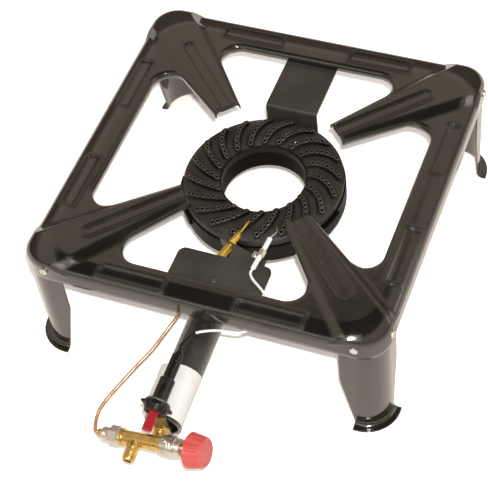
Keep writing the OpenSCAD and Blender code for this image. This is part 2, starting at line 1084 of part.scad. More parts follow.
module electrode_clamp() {
    color(steel)
        difference() {
            union() {
                electrode_frame() {
                    along_x(ceramic_r + clip_t, clamp_t - clip_half, clamp_t + clip_half);
                    translate([clamp_t - clip_half, ceramic_r, plate_z - ceramic_z])
                        cube([2 * clip_half, clip_t, ceramic_z - plate_z]);
                    translate([clamp_t - clip_half, ceramic_r, plate_z - ceramic_z])
                        cube([2 * clip_half, 7.5, clip_t]);
                }
            }
            electrode_frame()
                along_x(ceramic_r, 0, ceramic_len);
            translate([clamp_x, clamp_y, plate_z - past])
                cylinder(r = clamp_screw_r, h = 4);
        }
}

module clamp_screw() {
    color(steel)
        translate([clamp_x, clamp_y, plate_z + clip_t])
            pan_screw(clamp_screw_r, 3, 2, 6);
}

lead_r = 1.9;

// ---- Valve
// Valve frame: X along the spindle to the knob, -Y out along the tube's axis

valve_s = 143;

module valve_frame() {
    tube_frame()
        translate([0, -valve_s, 0])
            rotate([0, -valve_roll, 0])
                children();
}

function valve_point(x, y, z) =
    let (
        a = [x * cos(valve_roll) - z * sin(valve_roll), y - valve_s,
            x * sin(valve_roll) + z * cos(valve_roll)]
    )
    [a[0], tube_y + a[1] * cos(tube_dip) - a[2] * sin(tube_dip),
        tube_z + a[1] * sin(tube_dip) + a[2] * cos(tube_dip)];
function tube_point(x, s, n) =
    [x, tube_y - s * cos(tube_dip) - n * sin(tube_dip),
        tube_z - s * sin(tube_dip) + n * cos(tube_dip)];

lead_route = [
    tc_foot + 4 * tc_dir, tc_foot - 6 * tc_dir, [-10, -141, 120], [-15, -165, 119],
    [-20.5, -199, 118.5], [-27, -218, 113], [-34.5, -238, 106], [-43, -254, 100.5],
    [-50.5, -269, 95.5], [-57, -283, 91.5], [-63, -297, 87.5], [-67, -307, 82.5],
    valve_point(-67.2, 9.6, 13.4), valve_point(-68.9, 4.4, 7.4), valve_point(-70, 1.6, 3.4),
    valve_point(-69.1, 0.4, 0.9), valve_point(-67, 0, 0), valve_point(-64, 0, 0),
    valve_point(-58, 0, 0)
];

module copper_lead() {
    color(copper)
        wire(curve(lead_route, 3), lead_r, 8);
}

body_r = 8;
body_x0 = -38;
stub_x = -22.5;
stub_r = 6.6;
stub_len = 24;
stub_tilt = 4;
stub_bore_r = 4;
chamber_r = 6.8;
chamber_x = 4;
bonnet_x0 = 10;
bonnet_x1 = 32;
bonnet_r = 10.6;
stop_x = 24;
spindle_r = 4.5;
collar_r = 6.4;
collar_t = 3;
fit = 0.06;
rod_r = 1.5;
magnet_r = 5.2;
magnet_x0 = body_x0 - 16;
magnet_x1 = body_x0 + 1;
nut_x0 = body_x0 - 23;
lead_nut_x0 = nut_x0 - 5.5;
thread_len = 5;
rod_play = 0.3;

module stub_frame() {
    translate([stub_x, 0, 0])
        rotate([stub_tilt, 0, 0])
            children();
}

module valve_body() {
    color(brass)
        valve_frame()
            difference() {
                union() {
                    along_x(body_r, body_x0, 5);
                    cone_x(body_r, 9.6, 4.99, 7.5);
                    along_x(9.6, 7.49, bonnet_x0);
                    along_x(9, body_x0, body_x0 + 2.5);
                    along_x(7, body_x0 - thread_len, body_x0 + 0.01);
                    rotate([-90, 0, 0])
                        cylinder(r = 6.4, h = 9);
                    rotate([-90, 0, 0])
                        cylinder(r = 5, h = outlet_len);
                    stub_frame() {
                        along_s(stub_r, 0, stub_len - 2);
                        cone_s(stub_r, stub_r - 1.2, stub_len - 2.01, stub_len);
                        along_s(7.4, 0, 10);
                    }
                }
                along_x(magnet_r, body_x0 - thread_len - past, body_x0 + 9);
                along_x(rod_r + 1, body_x0 + 8, chamber_x + 0.01);
                along_x(chamber_r, chamber_x, bonnet_x0 + past);
                rotate([-90, 0, 0])
                    cylinder(r = 2.2, h = outlet_len + past);
                stub_frame()
                    along_s(stub_bore_r, 5, stub_len + past);
            }
}

module inlet_screen() {
    color(steel)
        valve_frame()
            stub_frame()
                along_s(stub_bore_r, 7.5, 8.5);
}

module magnet_nut() {
    color(steel)
        valve_frame()
            difference() {
                union() {
                    hex_x(18, body_x0 - 13, body_x0 - 3);
                    along_x(9.6, body_x0 - 3.01, body_x0);
                    cone_x(7.4, 9, body_x0 - 15, body_x0 - 12.99);
                    along_x(7.4, nut_x0 + 1, body_x0 - 14.99);
                    cone_x(6.4, 7.4, nut_x0, nut_x0 + 1.01);
                }
                along_x(7, body_x0 - thread_len, body_x0 + past);
                along_x(magnet_r, magnet_x0 - 0.01, body_x0);
                along_x(3, nut_x0 - past, magnet_x0);
            }
}

module magnet_unit() {
    color(brass)
        valve_frame() {
            along_x(magnet_r, magnet_x0, magnet_x1 - 2);
            along_x(2.9, magnet_x0 - 3, magnet_x0 + 0.01);
            along_x(3.6, magnet_x1 - 2.01, magnet_x1);
        }
}

module lead_nut() {
    color(brass)
        valve_frame()
            difference() {
                union() {
                    along_x(3, nut_x0 - 0.01, magnet_x0 - 3);
                    hex_x(7.5, lead_nut_x0, nut_x0);
                }
                along_x(lead_r, lead_nut_x0 - past, magnet_x0);
            }
}

screw_x = 14.5;

module bonnet() {
    color(steel)
        valve_frame()
            difference() {
                union() {
                    along_x(bonnet_r, bonnet_x0, 25);
                    cone_x(bonnet_r, 9.2, 24.99, 26.4);
                    along_x(9.2, 26.39, bonnet_x1 - 1.2);
                    cone_x(9.2, 8.2, bonnet_x1 - 1.21, bonnet_x1);
                }
                along_x(chamber_r, bonnet_x0 - past, stop_x);
                along_x(spindle_r + fit, stop_x - past, bonnet_x1 + past);
                translate([screw_x, 0, chamber_r + 1.2])
                    cylinder(r = 1.5, h = 5);
            }
}

module bonnet_screw() {
    color(steel)
        valve_frame()
            translate([screw_x, 0, chamber_r + 1.2]) {
                cylinder(r = 1.5, h = bonnet_r - chamber_r - 1.19);
                translate([0, 0, bonnet_r - chamber_r - 1.2])
                    difference() {
                        cylinder(r = 2.4, h = 1.8);
                        translate([-3, -0.4, 1.1])
                            cube([6, 0.8, 1]);
                    }
            }
}

spindle_x = chamber_x + push_travel + 1.2;

module push_rod() {
    color(steel)
        valve_frame() {
            along_x(rod_r, magnet_x1 + push_travel + rod_play, spindle_x - 0.5);
            along_x(collar_r - 2, spindle_x - 1, spindle_x);
        }
}

module return_spring() {
    color(steel)
        valve_frame()
            coil(chamber_x + 0.6, stop_x - collar_t - 0.6, 5.7, 0.5, 5, 6);
}

knob_x = 40;
knob_end = knob_x + knob_l;
socket_x = knob_x + 7;
shaft_end = knob_end - 5;

module d_shaft(x0, x1) {
    difference() {
        along_x(3, x0, x1);
        translate([x0 - past, -4, 2])
            cube([x1 - x0 + 2 * past, 8, 4]);
    }
}

module spindle() {
    color(brass)
        valve_frame()
            difference() {
                union() {
                    along_x(spindle_r, spindle_x, socket_x);
                    along_x(collar_r, stop_x - collar_t, stop_x - 0.1);
                    d_shaft(socket_x - 0.01, shaft_end);
                }
                along_x(1.2, shaft_end - 9, shaft_end + past);
            }
}

flutes = 14;
knob_taper = 2.6;
cap_disc_r = 12;
cap_disc_t = 1.2;

module knob() {
    tilt = atan(knob_taper / (knob_l - 3));
    color(red)
        valve_frame()
            difference() {
                union() {
                    cone_x(knob_r - 1.2, knob_r, knob_x, knob_x + 1.2);
                    cone_x(knob_r, knob_r - knob_taper, knob_x + 1.19, knob_end - 2);
                    cone_x(knob_r - knob_taper, knob_r - knob_taper - 1.8, knob_end - 2.01, knob_end);
                }
                for (k = [0:flutes - 1])
                    rotate([360 * k / flutes, 0, 0])
                        translate([knob_x + 3, 0, knob_r + 1.6])
                            rotate([0, tilt, 0])
                                along_x(2.6, 0, knob_l + 5);
                difference() {
                    along_x(knob_r - 4, knob_x - past, knob_end - 6);
                    along_x(7, knob_x - 2, knob_end);
                }
                along_x(spindle_r, knob_x - past, socket_x);
                d_shaft(socket_x - past, shaft_end);
                along_x(1.2, shaft_end - past, knob_end);
                along_x(3, shaft_end + 1.2, knob_end);
                along_x(cap_disc_r, knob_end - cap_disc_t, knob_end + past);
            }
}

module knob_screw() {
    color(steel)
        valve_frame() {
            along_x(1.2, shaft_end - 8, shaft_end + 1.21);
            difference() {
                along_x(2.9, shaft_end + 1.2, knob_end - cap_disc_t - 0.5);
                translate([knob_end - cap_disc_t - 1.3, -0.4, -3])
                    cube([2, 0.8, 6]);
            }
        }
}

module knob_cap() {
    color(red)
        valve_frame() {
            along_x(cap_disc_r, knob_end - cap_disc_t, knob_end - 0.6);
            cone_x(cap_disc_r, cap_disc_r - 0.6, knob_end - 0.61, knob_end - 0.01);
        }
}

// ---- Tube mouth: bridge, injector and outlet nut

bridge_w = 15;
bridge_t = 2;
bridge_s = mouth_s;
ear_s = 115.5;
ear_r = 13.5;
step_n = rim_r + 0.7;
igniter_n = 36;
igniter_x = -1;
bridge_screw_r = 1.2;
bridge_screw_turn = 15;

module at_bridge_screws() {
    for (a = [-bridge_screw_turn, bridge_screw_turn])
        rotate([0, a, 0])
            translate([0, 0, -(tube_r + tube_bore_r) / 2])
                children();
}

// Strap across the mouth, stepped back over the rim to the igniter's ear
module injector_bridge() {
    color(steel)
        tube_frame()
            difference() {
                union() {
                    translate([-bridge_w / 2, -bridge_s - bridge_t, -rim_r])
                        cube([bridge_w, bridge_t, rim_r + step_n + bridge_t]);
                    translate([-bridge_w / 2, -bridge_s - bridge_t, step_n])
                        cube([bridge_w, bridge_s + bridge_t - ear_s, bridge_t]);
                    translate([-bridge_w / 2, -ear_s - bridge_t, step_n])
                        cube([bridge_w, bridge_t, igniter_n - 6 - step_n]);
                    igniter_frame()
                        along_s(ear_r, ear_s, ear_s + bridge_t);
                }
                along_s(injector_r, bridge_s - past, bridge_s + 3);
                igniter_frame()
                    along_s(thread_r, ear_s - past, ear_s + 3);
                at_bridge_screws()
                    along_s(bridge_screw_r + 0.2, bridge_s - past, bridge_s + 3);
            }
}

module bridge_screws() {
    color(steel)
        tube_frame()
            at_bridge_screws()
                difference() {
                    union() {
                        along_s(bridge_screw_r, bridge_s - 7, bridge_s + 3);
                        along_s(2.3, bridge_s + bridge_t, bridge_s + bridge_t + 1.6);
                    }
                    translate([-3, -bridge_s - bridge_t - 2.6, -0.35])
                        cube([6, 1.7, 0.7]);
                }
}

injector_r = 5;
outlet_len = 19;
outlet_end = valve_s - outlet_len;

module injector() {
    color(brass)
        tube_frame()
            difference() {
                union() {
                    along_s(injector_r, 112, outlet_end);
                    hex_s(10, 108, 112.01);
                    cone_s(2.5, 4.4, 102, 108.01);
                }
                along_s(2.2, 112, outlet_end + past);
                along_s(0.5, 100, 113);
            }
}

module outlet_nut() {
    color(brass)
        tube_frame()
            difference() {
                union() {
                    hex_s(16, bridge_s + bridge_t, 130);
                    along_s(6.6, 129.99, 132);
                }
                along_s(injector_r, bridge_s, 133);
            }
}

// ---- Igniter

thread_r = igniter_r - 0.6;
rear_r = 6;
igniter_turn = 25;
igniter_s0 = 69;
step_s = 87;
thread_s1 = ear_s + 10.5;
button_w = 5;
button_h = 3;
button_corner = 1.2;
button_end = 147;
spring_s0 = 92;
spring_s1 = spring_s0 + press_travel + 6;
slide_gap = 0.1;

module igniter_frame() {
    translate([igniter_x, 0, igniter_n])
        rotate([0, igniter_turn, 0])
            children();
}

// Flat bar with round corners out along the igniter, w and h being half its width and height
module flat_bar(w, h, r, s0, s1) {
    translate([0, -s0, 0])
        rotate([90, 0, 0])
            linear_extrude(s1 - s0)
                difference() {
                    square([2 * w, 2 * h], center = true);
                    for (a = [-1, 1], b = [-1, 1])
                        translate([a * (w - r), b * (h - r)])
                            difference() {
                                translate([a * r / 2 + a * past / 2, b * r / 2 + b * past / 2])
                                    square(r + past, center = true);
                                circle(r);
                            }
                }
}

module igniter_body() {
    color(black)
        tube_frame()
            igniter_frame()
                difference() {
                    union() {
                        along_s(rear_r, igniter_s0, step_s + 0.01);
                        cone_s(rear_r, igniter_r, step_s, step_s + 2);
                        along_s(igniter_r, step_s + 1.99, ear_s);
                        along_s(thread_r, ear_s - 0.01, thread_s1);
                    }
                    along_s(5, igniter_s0 - past, step_s);
                    along_s(5.8, step_s + 2, spring_s1);
                    along_s(5, step_s - past, step_s + 2 + past);
                    flat_bar(button_w + slide_gap, button_h + slide_gap, button_corner + slide_gap,
                        spring_s1 - past, thread_s1 + past);
                }
}

nut_ear = 17;
nut_r = 13;

module igniter_nut() {
    e = nut_r - 0.4;
    a = acos(e / nut_ear);
    c = e * cos(a);
    d = e * sin(a);
    s0 = ear_s + bridge_t;
    color(black)
        tube_frame()
            igniter_frame()
                difference() {
                    union() {
                        along_s(nut_r, s0, s0 + 4);
                        translate([0, -s0 - 0.5, 0])
                            rotate([90, 0, 0])
                                linear_extrude(2.6)
                                    polygon([[nut_ear, 0], [c, d], [-c, d], [-nut_ear, 0], [-c, -d], [c, -d]]);
                        cone_s(nut_r, 10.2, s0 + 3.99, s0 + 9.5);
                    }
                    along_s(thread_r, s0 - past, s0 + 13);
                }
}

module igniter_cap() {
    color(black)
        tube_frame()
            igniter_frame()
                difference() {
                    union() {
                        along_s(6, igniter_s0 - 8, igniter_s0);
                        cone_s(3.2, 6, igniter_s0 - 13, igniter_s0 - 7.99);
                        along_s(5, igniter_s0 - 0.01, igniter_s0 + 3);
                    }
                    along_s(cable_r, igniter_s0 - 14, igniter_s0 + 1);
                }
}

module igniter_button() {
    color(red)
        tube_frame()
            igniter_frame() {
                flat_bar(button_w, button_h, button_corner, spring_s1, button_end - 0.6);
                flat_bar(button_w - 0.5, button_h - 0.5, button_corner, button_end - 0.61, button_end);
            }
}

module igniter_piezo() {
    color(steel)
        tube_frame()
            igniter_frame() {
                along_s(5, igniter_s0 + 3, step_s + 2.6);
                along_s(5.4, step_s + 2.5, spring_s0 - 0.5);
            }
}

module igniter_spring() {
    color(steel)
        tube_frame()
            igniter_frame()
                rotate([0, 0, -90])
                    coil(spring_s0 + 0.1, spring_s1 - 0.6, 4, 0.5, 5, 6);
}

cable_r = 1.4;
cable_route = [
    ceramic_0 + 2 * unit(ceramic_1 - ceramic_0), ceramic_0 - 1.5 * unit(ceramic_1 - ceramic_0),
    [38.5, -139, 137.4], [44, -146, 137.2], [57, -155, 135.8], [63.5, -161.5, 131], [63, -176, 122.4],
    [58, -192, 120.4], [48, -201, 120], [30, -204, 120], [16, -209, 120.4], [5, -217, 121.6],
    tube_point(igniter_x - 0.5, igniter_s0 - 22, igniter_n + 0.4),
    tube_point(igniter_x, igniter_s0 - 13, igniter_n), tube_point(igniter_x, igniter_s0 - 0.5, igniter_n)
];

module ignition_cable() {
    color(white)
        wire(curve(cable_route, 3), cable_r, 8);
}

top_frame();
leg_front_left();
leg_front_right();
leg_rear_left();
leg_rear_right();
leg_screws();
leg_nuts();
rear_bracket();
front_plate();
plate_screw();
bracket_screws();
burner_base();
burner_cap();
cap_screws();
label_sleeve();
sensor_bracket();
bracket_rivets();
thermocouple();
thermocouple_nut();
copper_lead();
lead_nut();
electrode_ceramic();
electrode_wire();
electrode_clamp();
clamp_screw();
ignition_cable();
igniter_body();
igniter_nut();
igniter_cap();
igniter_button();
igniter_piezo();
igniter_spring();
injector_bridge();
bridge_screws();
injector();
outlet_nut();
valve_body();
inlet_screen();
magnet_nut();
magnet_unit();
bonnet();
bonnet_screw();
push_rod();
return_spring();
spindle();
knob();
knob_screw();
knob_cap();
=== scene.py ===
# %% [markdown]
# # A propane burner stand
# A pressed steel frame on four legs carries a cast iron ring burner. A mixing tube runs out to
# a brass flame failure valve with a red knob, and a push igniter sits on the tube's mouth.
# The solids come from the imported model, are already in place and are never moved. This lesson
# gives each one its finish. It also adds the threads, beads, drawn tubes and paper label,
# which are easier to make as surfaces than as solids.

# %% Load the solids
import bpy
import numpy as np
from mathutils import Matrix, Vector


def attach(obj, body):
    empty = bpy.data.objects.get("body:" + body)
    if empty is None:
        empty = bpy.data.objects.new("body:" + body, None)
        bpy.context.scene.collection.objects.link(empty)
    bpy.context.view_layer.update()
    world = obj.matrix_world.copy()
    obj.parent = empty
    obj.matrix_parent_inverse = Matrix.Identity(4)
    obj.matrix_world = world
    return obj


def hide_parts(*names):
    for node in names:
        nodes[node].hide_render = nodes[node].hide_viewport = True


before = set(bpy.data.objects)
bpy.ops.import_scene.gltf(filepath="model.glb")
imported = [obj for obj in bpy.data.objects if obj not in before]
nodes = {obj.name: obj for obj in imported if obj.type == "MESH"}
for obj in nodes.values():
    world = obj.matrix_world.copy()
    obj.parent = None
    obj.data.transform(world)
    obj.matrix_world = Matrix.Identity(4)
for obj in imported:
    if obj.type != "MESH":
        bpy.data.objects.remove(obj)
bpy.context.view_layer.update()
MM = 0.001

# %% [markdown]
# ## The camera
# A camera is a place, three directions and a lens. It could be aimed at a point with a Track To
# constraint, but an aim point leaves the roll to chance. Writing the directions down as the
# columns of a matrix fixes the view exactly. The lens is long, so the stand's sides converge
# only a little.

# %% Camera
LOOK = Vector((-0.28628801, 0.55755082, -0.77921515))
RIGHT = Vector((0.93165426, 0.35189373, -0.09050492))
UP = RIGHT.cross(LOOK)
EYE = Vector((476.2, -995.7, 1384.9)) * MM

camera = bpy.data.objects.new("camera", bpy.data.cameras.new("camera"))
bpy.context.scene.collection.objects.link(camera)
columns = (*RIGHT, 0), (*UP, 0), (*-LOOK, 0), (*EYE, 1)
camera.matrix_world = Matrix(columns).transposed()
camera.data.lens = 113.13
camera.data.sensor_width = 36
camera.data.clip_start = 0.05
bpy.context.scene.camera = camera
bpy.context.scene.view_settings.view_transform = "Standard"
print("camera:", np.round(camera.location, 3).tolist(), "lens:", camera.data.lens)

# %% [markdown]
# ## A small helper for shader trees
# A material is a graph of nodes, which could be drawn by hand in the shader editor. In a script,
# one short function that adds a node, sets its options and joins its inputs keeps every finish
# below readable: a value goes on the socket, and another node's output is linked to it.

# %% Shader helper
def put(tree, kind, inputs=None, **options):
    """Adds a node to the tree. Each input is a plain value or an output socket to link."""
    node = tree.nodes.new("ShaderNode" + kind)
    for name, value in options.items():
        setattr(node, name, value)
    for name, value in (inputs or {}).items():
        socket = node.inputs[name]
        if isinstance(value, bpy.types.NodeSocket):
            tree.links.new(value, socket)
        else:
            socket.default_value = value
    return node


def blend_colours(tree, mask, low, high):
    """Colour output that goes from low, where the mask is 0, to high, where it is 1."""
    mix = put(tree, "Mix", {0: mask, 6: low, 7: high}, data_type="RGBA")
    return mix.outputs[2]


def spread(tree, value, low, high):
    """Output that carries a value from 0..1 to low..high."""
    return put(tree, "MapRange", {"Value": value, "To Min": low, "To Max": high}).outputs[0]


def new_group(name, inputs, outputs):
    """Empty node group with float inputs {name: start value} and outputs {name: kind}."""
    group = bpy.data.node_groups.new(name, "ShaderNodeTree")
    for label, start in inputs.items():
        socket = group.interface.new_socket(label, in_out="INPUT", socket_type="NodeSocketFloat")
        socket.default_value = start
    for label, kind in outputs.items():
        group.interface.new_socket(label, in_out="OUTPUT", socket_type="NodeSocket" + kind)
    return group, group.nodes.new("NodeGroupInput").outputs, group.nodes.new("NodeGroupOutput")


def use(tree, group, **values):
    """Places a node group in a material and returns its outputs."""
    node = tree.nodes.new("ShaderNodeGroup")
    node.node_tree = group
    for label, value in values.items():
        node.inputs[label.replace("_", " ")].default_value = value
    return node.outputs


print("shader helpers ready")

# %% [markdown]
# ## Effects that several finishes share
# Real metal and enamel never have one roughness: fingers leave broad smudges, and casting,
# drawing or painting leaves a fine grain. Each effect could be copied into every material.
# As a node group with its size and amount as inputs it is built once and used everywhere.
# The groups read Object coordinates, so a pattern keeps its real scale on every piece.

# %% Smudges and grain
def smudge_group():
    """Soft cloudy mask: fractal noise of the object's coordinates, stretched to use 0..1."""
    group, given, out = new_group("smudges", {"Scale": 20, "Low": 0.35, "High": 0.65},
                                  {"Mask": "Float"})
    place = put(group, "TexCoord").outputs["Object"]
    noise = put(group, "TexNoise", {"Vector": place, "Scale": given["Scale"], "Detail": 5})
    mask = put(group, "MapRange", {"Value": noise.outputs[0], "From Min": given["Low"],
                                   "From Max": given["High"]}, interpolation_type="SMOOTHSTEP")
    group.links.new(mask.outputs[0], out.inputs["Mask"])
    return group


def grain_group():
    """Bumpy height: coarse noise plus a third of noise three times finer."""
    group, given, out = new_group("grain", {"Scale": 600}, {"Height": "Float"})
    place = put(group, "TexCoord").outputs["Object"]
    coarse = put(group, "TexNoise", {"Vector": place, "Scale": given["Scale"], "Detail": 3})
    finer = put(group, "Math", {0: given["Scale"], 1: 3.1}, operation="MULTIPLY")
    fine = put(group, "TexNoise", {"Vector": place, "Scale": finer.outputs[0], "Detail": 2})
    third = put(group, "Math", {0: fine.outputs[0], 1: 0.33, 2: coarse.outputs[0]},
                operation="MULTIPLY_ADD")
    group.links.new(third.outputs[0], out.inputs["Height"])
    return group


SMUDGES = smudge_group()
GRAIN = grain_group()
print("groups:", SMUDGES.name, GRAIN.name)

# %% [markdown]
# ## Specks, worn edges and hollows
# Dust and casting sand sit as small round specks. Paint wears off first where an edge sticks
# out. Corners and holes are darkened as painted shade. All three could be painted by hand, but
# they follow from the shape: specks from the cells of a Voronoi pattern, edges from how much a
# Bevel node turns the normal, and hollows from ambient occlusion. So they fit every piece by
# themselves.

# %% Specks
def speck_group():
    """Small round specks: 1 inside Size of a Voronoi cell's centre, fading to 0 outside it."""
    group, given, out = new_group("specks", {"Scale": 400, "Size": 0.2}, {"Mask": "Float"})
    place = put(group, "TexCoord").outputs["Object"]
    cells = put(group, "TexVoronoi", {"Vector": place, "Scale": given["Scale"]})
    mask = put(group, "MapRange", {"Value": cells.outputs["Distance"], "From Min": given["Size"],
                                   "From Max": 0.0})
    group.links.new(mask.outputs[0], out.inputs["Mask"])
    return group


SPECKS = speck_group()
print("group:", SPECKS.name)

# %% Worn edges
def edge_group():
    """Worn edges: how far the rounded normal leans from the face's own, broken up by noise."""
    group, given, out = new_group("worn edges", {"Radius": 0.0006, "Amount": 1.0},
                                  {"Mask": "Float"})
    rounded = put(group, "Bevel", {"Radius": given["Radius"]}, samples=4)
    face = put(group, "NewGeometry").outputs["Normal"]
    same = put(group, "VectorMath", {0: rounded.outputs[0], 1: face}, operation="DOT_PRODUCT")
    lean = put(group, "MapRange", {"Value": same.outputs["Value"], "From Min": 0.995,
                                   "From Max": 0.88})
    place = put(group, "TexCoord").outputs["Object"]
    noise = put(group, "TexNoise", {"Vector": place, "Scale": 160, "Detail": 4})
    patchy = put(group, "MapRange", {"Value": noise.outputs[0], "From Min": 0.42, "From Max": 0.6})
    worn = put(group, "Math", {0: lean.outputs[0], 1: patchy.outputs[0]}, operation="MULTIPLY")
    amount = put(group, "Math", {0: worn.outputs[0], 1: given["Amount"]}, operation="MULTIPLY")
    group.links.new(amount.outputs[0], out.inputs["Mask"])
    return group


EDGES = edge_group()
print("group:", EDGES.name)

# %% Hollows
# The mask that the cast iron uses to paint shade into hollows.
def open_group():
    """How open the surface is: 0 in narrow corners and holes, 1 on ridges and flats."""
    group, given, out = new_group("open to the sky", {"Reach": 0.004, "Low": 0.45, "High": 0.95},
                                  {"Mask": "Float"})
    hollow = put(group, "AmbientOcclusion", {"Distance": given["Reach"]}, samples=8)
    mask = put(group, "MapRange", {"Value": hollow.outputs["AO"], "From Min": given["Low"],
                                   "From Max": given["High"]})
    group.links.new(mask.outputs[0], out.inputs["Mask"])
    return group


OPEN = open_group()
print("group:", OPEN.name)

# %% [markdown]
# ## A rolled shoulder
# The press rolls the frame's outer border down. The roll is far too shallow to change the
# outline, but the shine shows it, so it is a bump and not a shape. Its height falls with the
# square of how close a point is to the rounded outside, so the slope grows evenly toward the
# edge, as on sheet that was drawn over a die.

# %% Shoulder group
def shoulder_group():
    """Height -slope / 2 * width * (1 - d / width)^2, where d is the distance to a rounded
    square: the corner radius, less the length of the overshoot past the corners' centres."""
    group, given, out = new_group("rolled shoulder", {"Half": 0.2, "Corner": 0.055, "Width": 0.024,
                                                      "Slope": 0.8}, {"Height": "Float"})

    def math(operation, *values):
        return put(group, "Math", dict(enumerate(values)), operation=operation).outputs[0]

    place = put(group, "SeparateXYZ", {0: put(group, "TexCoord").outputs["Object"]}).outputs
    centre = math("SUBTRACT", given["Half"], given["Corner"])
    over = [math("SUBTRACT", math("ABSOLUTE", place[axis]), centre) for axis in "XY"]
    past = [math("MAXIMUM", q, 0.0) for q in over]
    length = math("SQRT", math("ADD", math("POWER", past[0], 2.0), math("POWER", past[1], 2.0)))
    inside = math("MINIMUM", math("MAXIMUM", *over), 0.0)
    near = math("SUBTRACT", math("SUBTRACT", given["Corner"], length), inside)
    share = math("MAXIMUM", math("SUBTRACT", 1.0, math("DIVIDE", near, given["Width"])), 0.0)
    drop = math("MULTIPLY", math("POWER", share, 2.0), math("MULTIPLY", given["Width"], -0.5))
    group.links.new(math("MULTIPLY", drop, given["Slope"]), out.inputs["Height"])
    return group


SHOULDER = shoulder_group()
print("group:", SHOULDER.name)

# %% [markdown]
# ## From a mask to a finish
# Every finish ends in one Principled shader. The numbers that are the same all over go on the
# shader's own sockets, and only what changes over the surface is linked. The solids leave
# sheet edges sharp. Bevelling the mesh would soften them but change it, so a Bevel node under
# the bump rounds them in the shading alone.

# %% Finish helper
def new_finish(name):
    """Material whose tree is only a Principled shader, joined to its output."""
    material = bpy.data.materials.new(name)
    material.use_nodes = True
    tree = material.node_tree
    tree.nodes.clear()
    shader = put(tree, "BsdfPrincipled")
    put(tree, "OutputMaterial", {"Surface": shader.outputs[0]})
    return material, tree, shader


def dress(tree, shader, links=None, **values):
    """Sets the shader's plain values and links what varies."""
    for name, value in values.items():
        shader.inputs[name.replace("_", " ")].default_value = value
    for name, socket in (links or {}).items():
        tree.links.new(socket, shader.inputs[name])


def bumped(tree, height, distance, radius):
    """Normal output of a bump that is distance metres high, over edges rounded by radius."""
    rounded = put(tree, "Bevel", {"Radius": radius}, samples=10).outputs[0]
    given = {"Height": height, "Distance": distance, "Normal": rounded}
    return put(tree, "Bump", given).outputs[0]


print("finish helpers ready")

# %% [markdown]
# ## Black enamel
# The frame and legs are dipped in glossy black enamel: nearly black, glassy, and slightly wavy
# like orange peel. Smudges dull the shine in patches, and there is a little pale dust and grey
# wear where edges rub. One glossy layer would look like plastic, so a clear coat lies over the
# base. The frame has the rolled shoulder as well, and the legs are only rounded.

# %% Enamel
def enamel(name, dark, peel_depth, edge, slope=0.0):
    """Edge is the radius of rounded edges, and slope the shoulder's steepness at the border."""
    material, tree, shader = new_finish(name)
    smudge = use(tree, SMUDGES, Scale=14, Low=0.4, High=0.72)[0]
    fine = use(tree, SMUDGES, Scale=90, Low=0.45, High=0.75)[0]
    specks = use(tree, SPECKS, Scale=330, Size=0.16)[0]
    worn = use(tree, EDGES, Radius=0.0005, Amount=0.5)[0]
    base = blend_colours(tree, smudge, dark, (0.010, 0.0085, 0.0070, 1))
    dust = put(tree, "Math", {0: specks, 1: 0.12}, operation="MULTIPLY").outputs[0]
    dusty = blend_colours(tree, dust, base, (0.22, 0.20, 0.17, 1))
    edged = blend_colours(tree, worn, dusty, (0.05, 0.045, 0.04, 1))
    rough = put(tree, "Math", {0: spread(tree, smudge, 0.07, 0.16), 1: spread(tree, fine, 0, 0.07)},
                operation="ADD").outputs[0]
    peel = use(tree, GRAIN, Scale=130)[0]
    normal = bumped(tree, peel, peel_depth, edge)
    if slope:
        roll = use(tree, SHOULDER, Slope=slope)[0]
        normal = put(tree, "Bump", {"Height": roll, "Distance": 1.0, "Normal": normal}).outputs[0]
    dress(tree, shader, {"Base Color": edged, "Roughness": rough, "Normal": normal,
                         "Coat Normal": normal}, IOR=1.75, Coat_Weight=0.8, Coat_Roughness=0.04)
    return material


BLACK_ENAMEL = enamel("black_enamel", (0.0045, 0.0042, 0.0038, 1), peel_depth=0.06 * MM,
                      edge=6 * MM, slope=0.75)
# The legs' base is painted a little lighter than the frame's: a painted sheen for the light their
# upright faces catch.
LEG_ENAMEL = enamel("leg_enamel", (0.010, 0.009, 0.008, 1), peel_depth=0.078 * MM, edge=3 * MM)
print("finish:", BLACK_ENAMEL.name, LEG_ENAMEL.name)

# %% [markdown]
# ## Painted plate
# The brackets are flat steel with a thin satin black paint. The enamel's recipe with more
# roughness would do, but a sprayed paint has no coat and no orange peel: it has a fine even
# grain, a weaker shine, and edges that wear to bare steel sooner.

# %% Satin paint
def satin_paint():
    """Dark paint, greyer where smudged, with pale worn edges and a fine grain."""
    material, tree, shader = new_finish("satin_black")
    smudge = use(tree, SMUDGES, Scale=22, Low=0.35, High=0.7)[0]
    worn = use(tree, EDGES, Radius=0.0004, Amount=0.8)[0]
    base = blend_colours(tree, smudge, (0.030, 0.027, 0.023, 1), (0.045, 0.040, 0.034, 1))
    edged = blend_colours(tree, worn, base, (0.16, 0.15, 0.13, 1))
    grain = use(tree, GRAIN, Scale=900)[0]
    dress(tree, shader, {"Base Color": edged, "Roughness": spread(tree, smudge, 0.36, 0.48),
                         "Normal": bumped(tree, grain, 0.04 * MM, 0.6 * MM)})
    return material


SATIN = satin_paint()
print("finish:", SATIN.name)

# %% [markdown]
# ## Cast iron
# The burner is sand cast and dipped in glossy black paint. Casting leaves a pitted skin, small
# glinting bumps, and brownish patches where the paint is thin. Heat then burns the paint dull
# near the flames. Hollows and the ring's inner wall are painted near-black as shade, and their
# shine is dimmed. An image could hold such a map. Distance from the burner's axis, which is the
# Z axis of the shared frame, and the hollows mask say the same with no image, and stay right
# if the ring is made again.

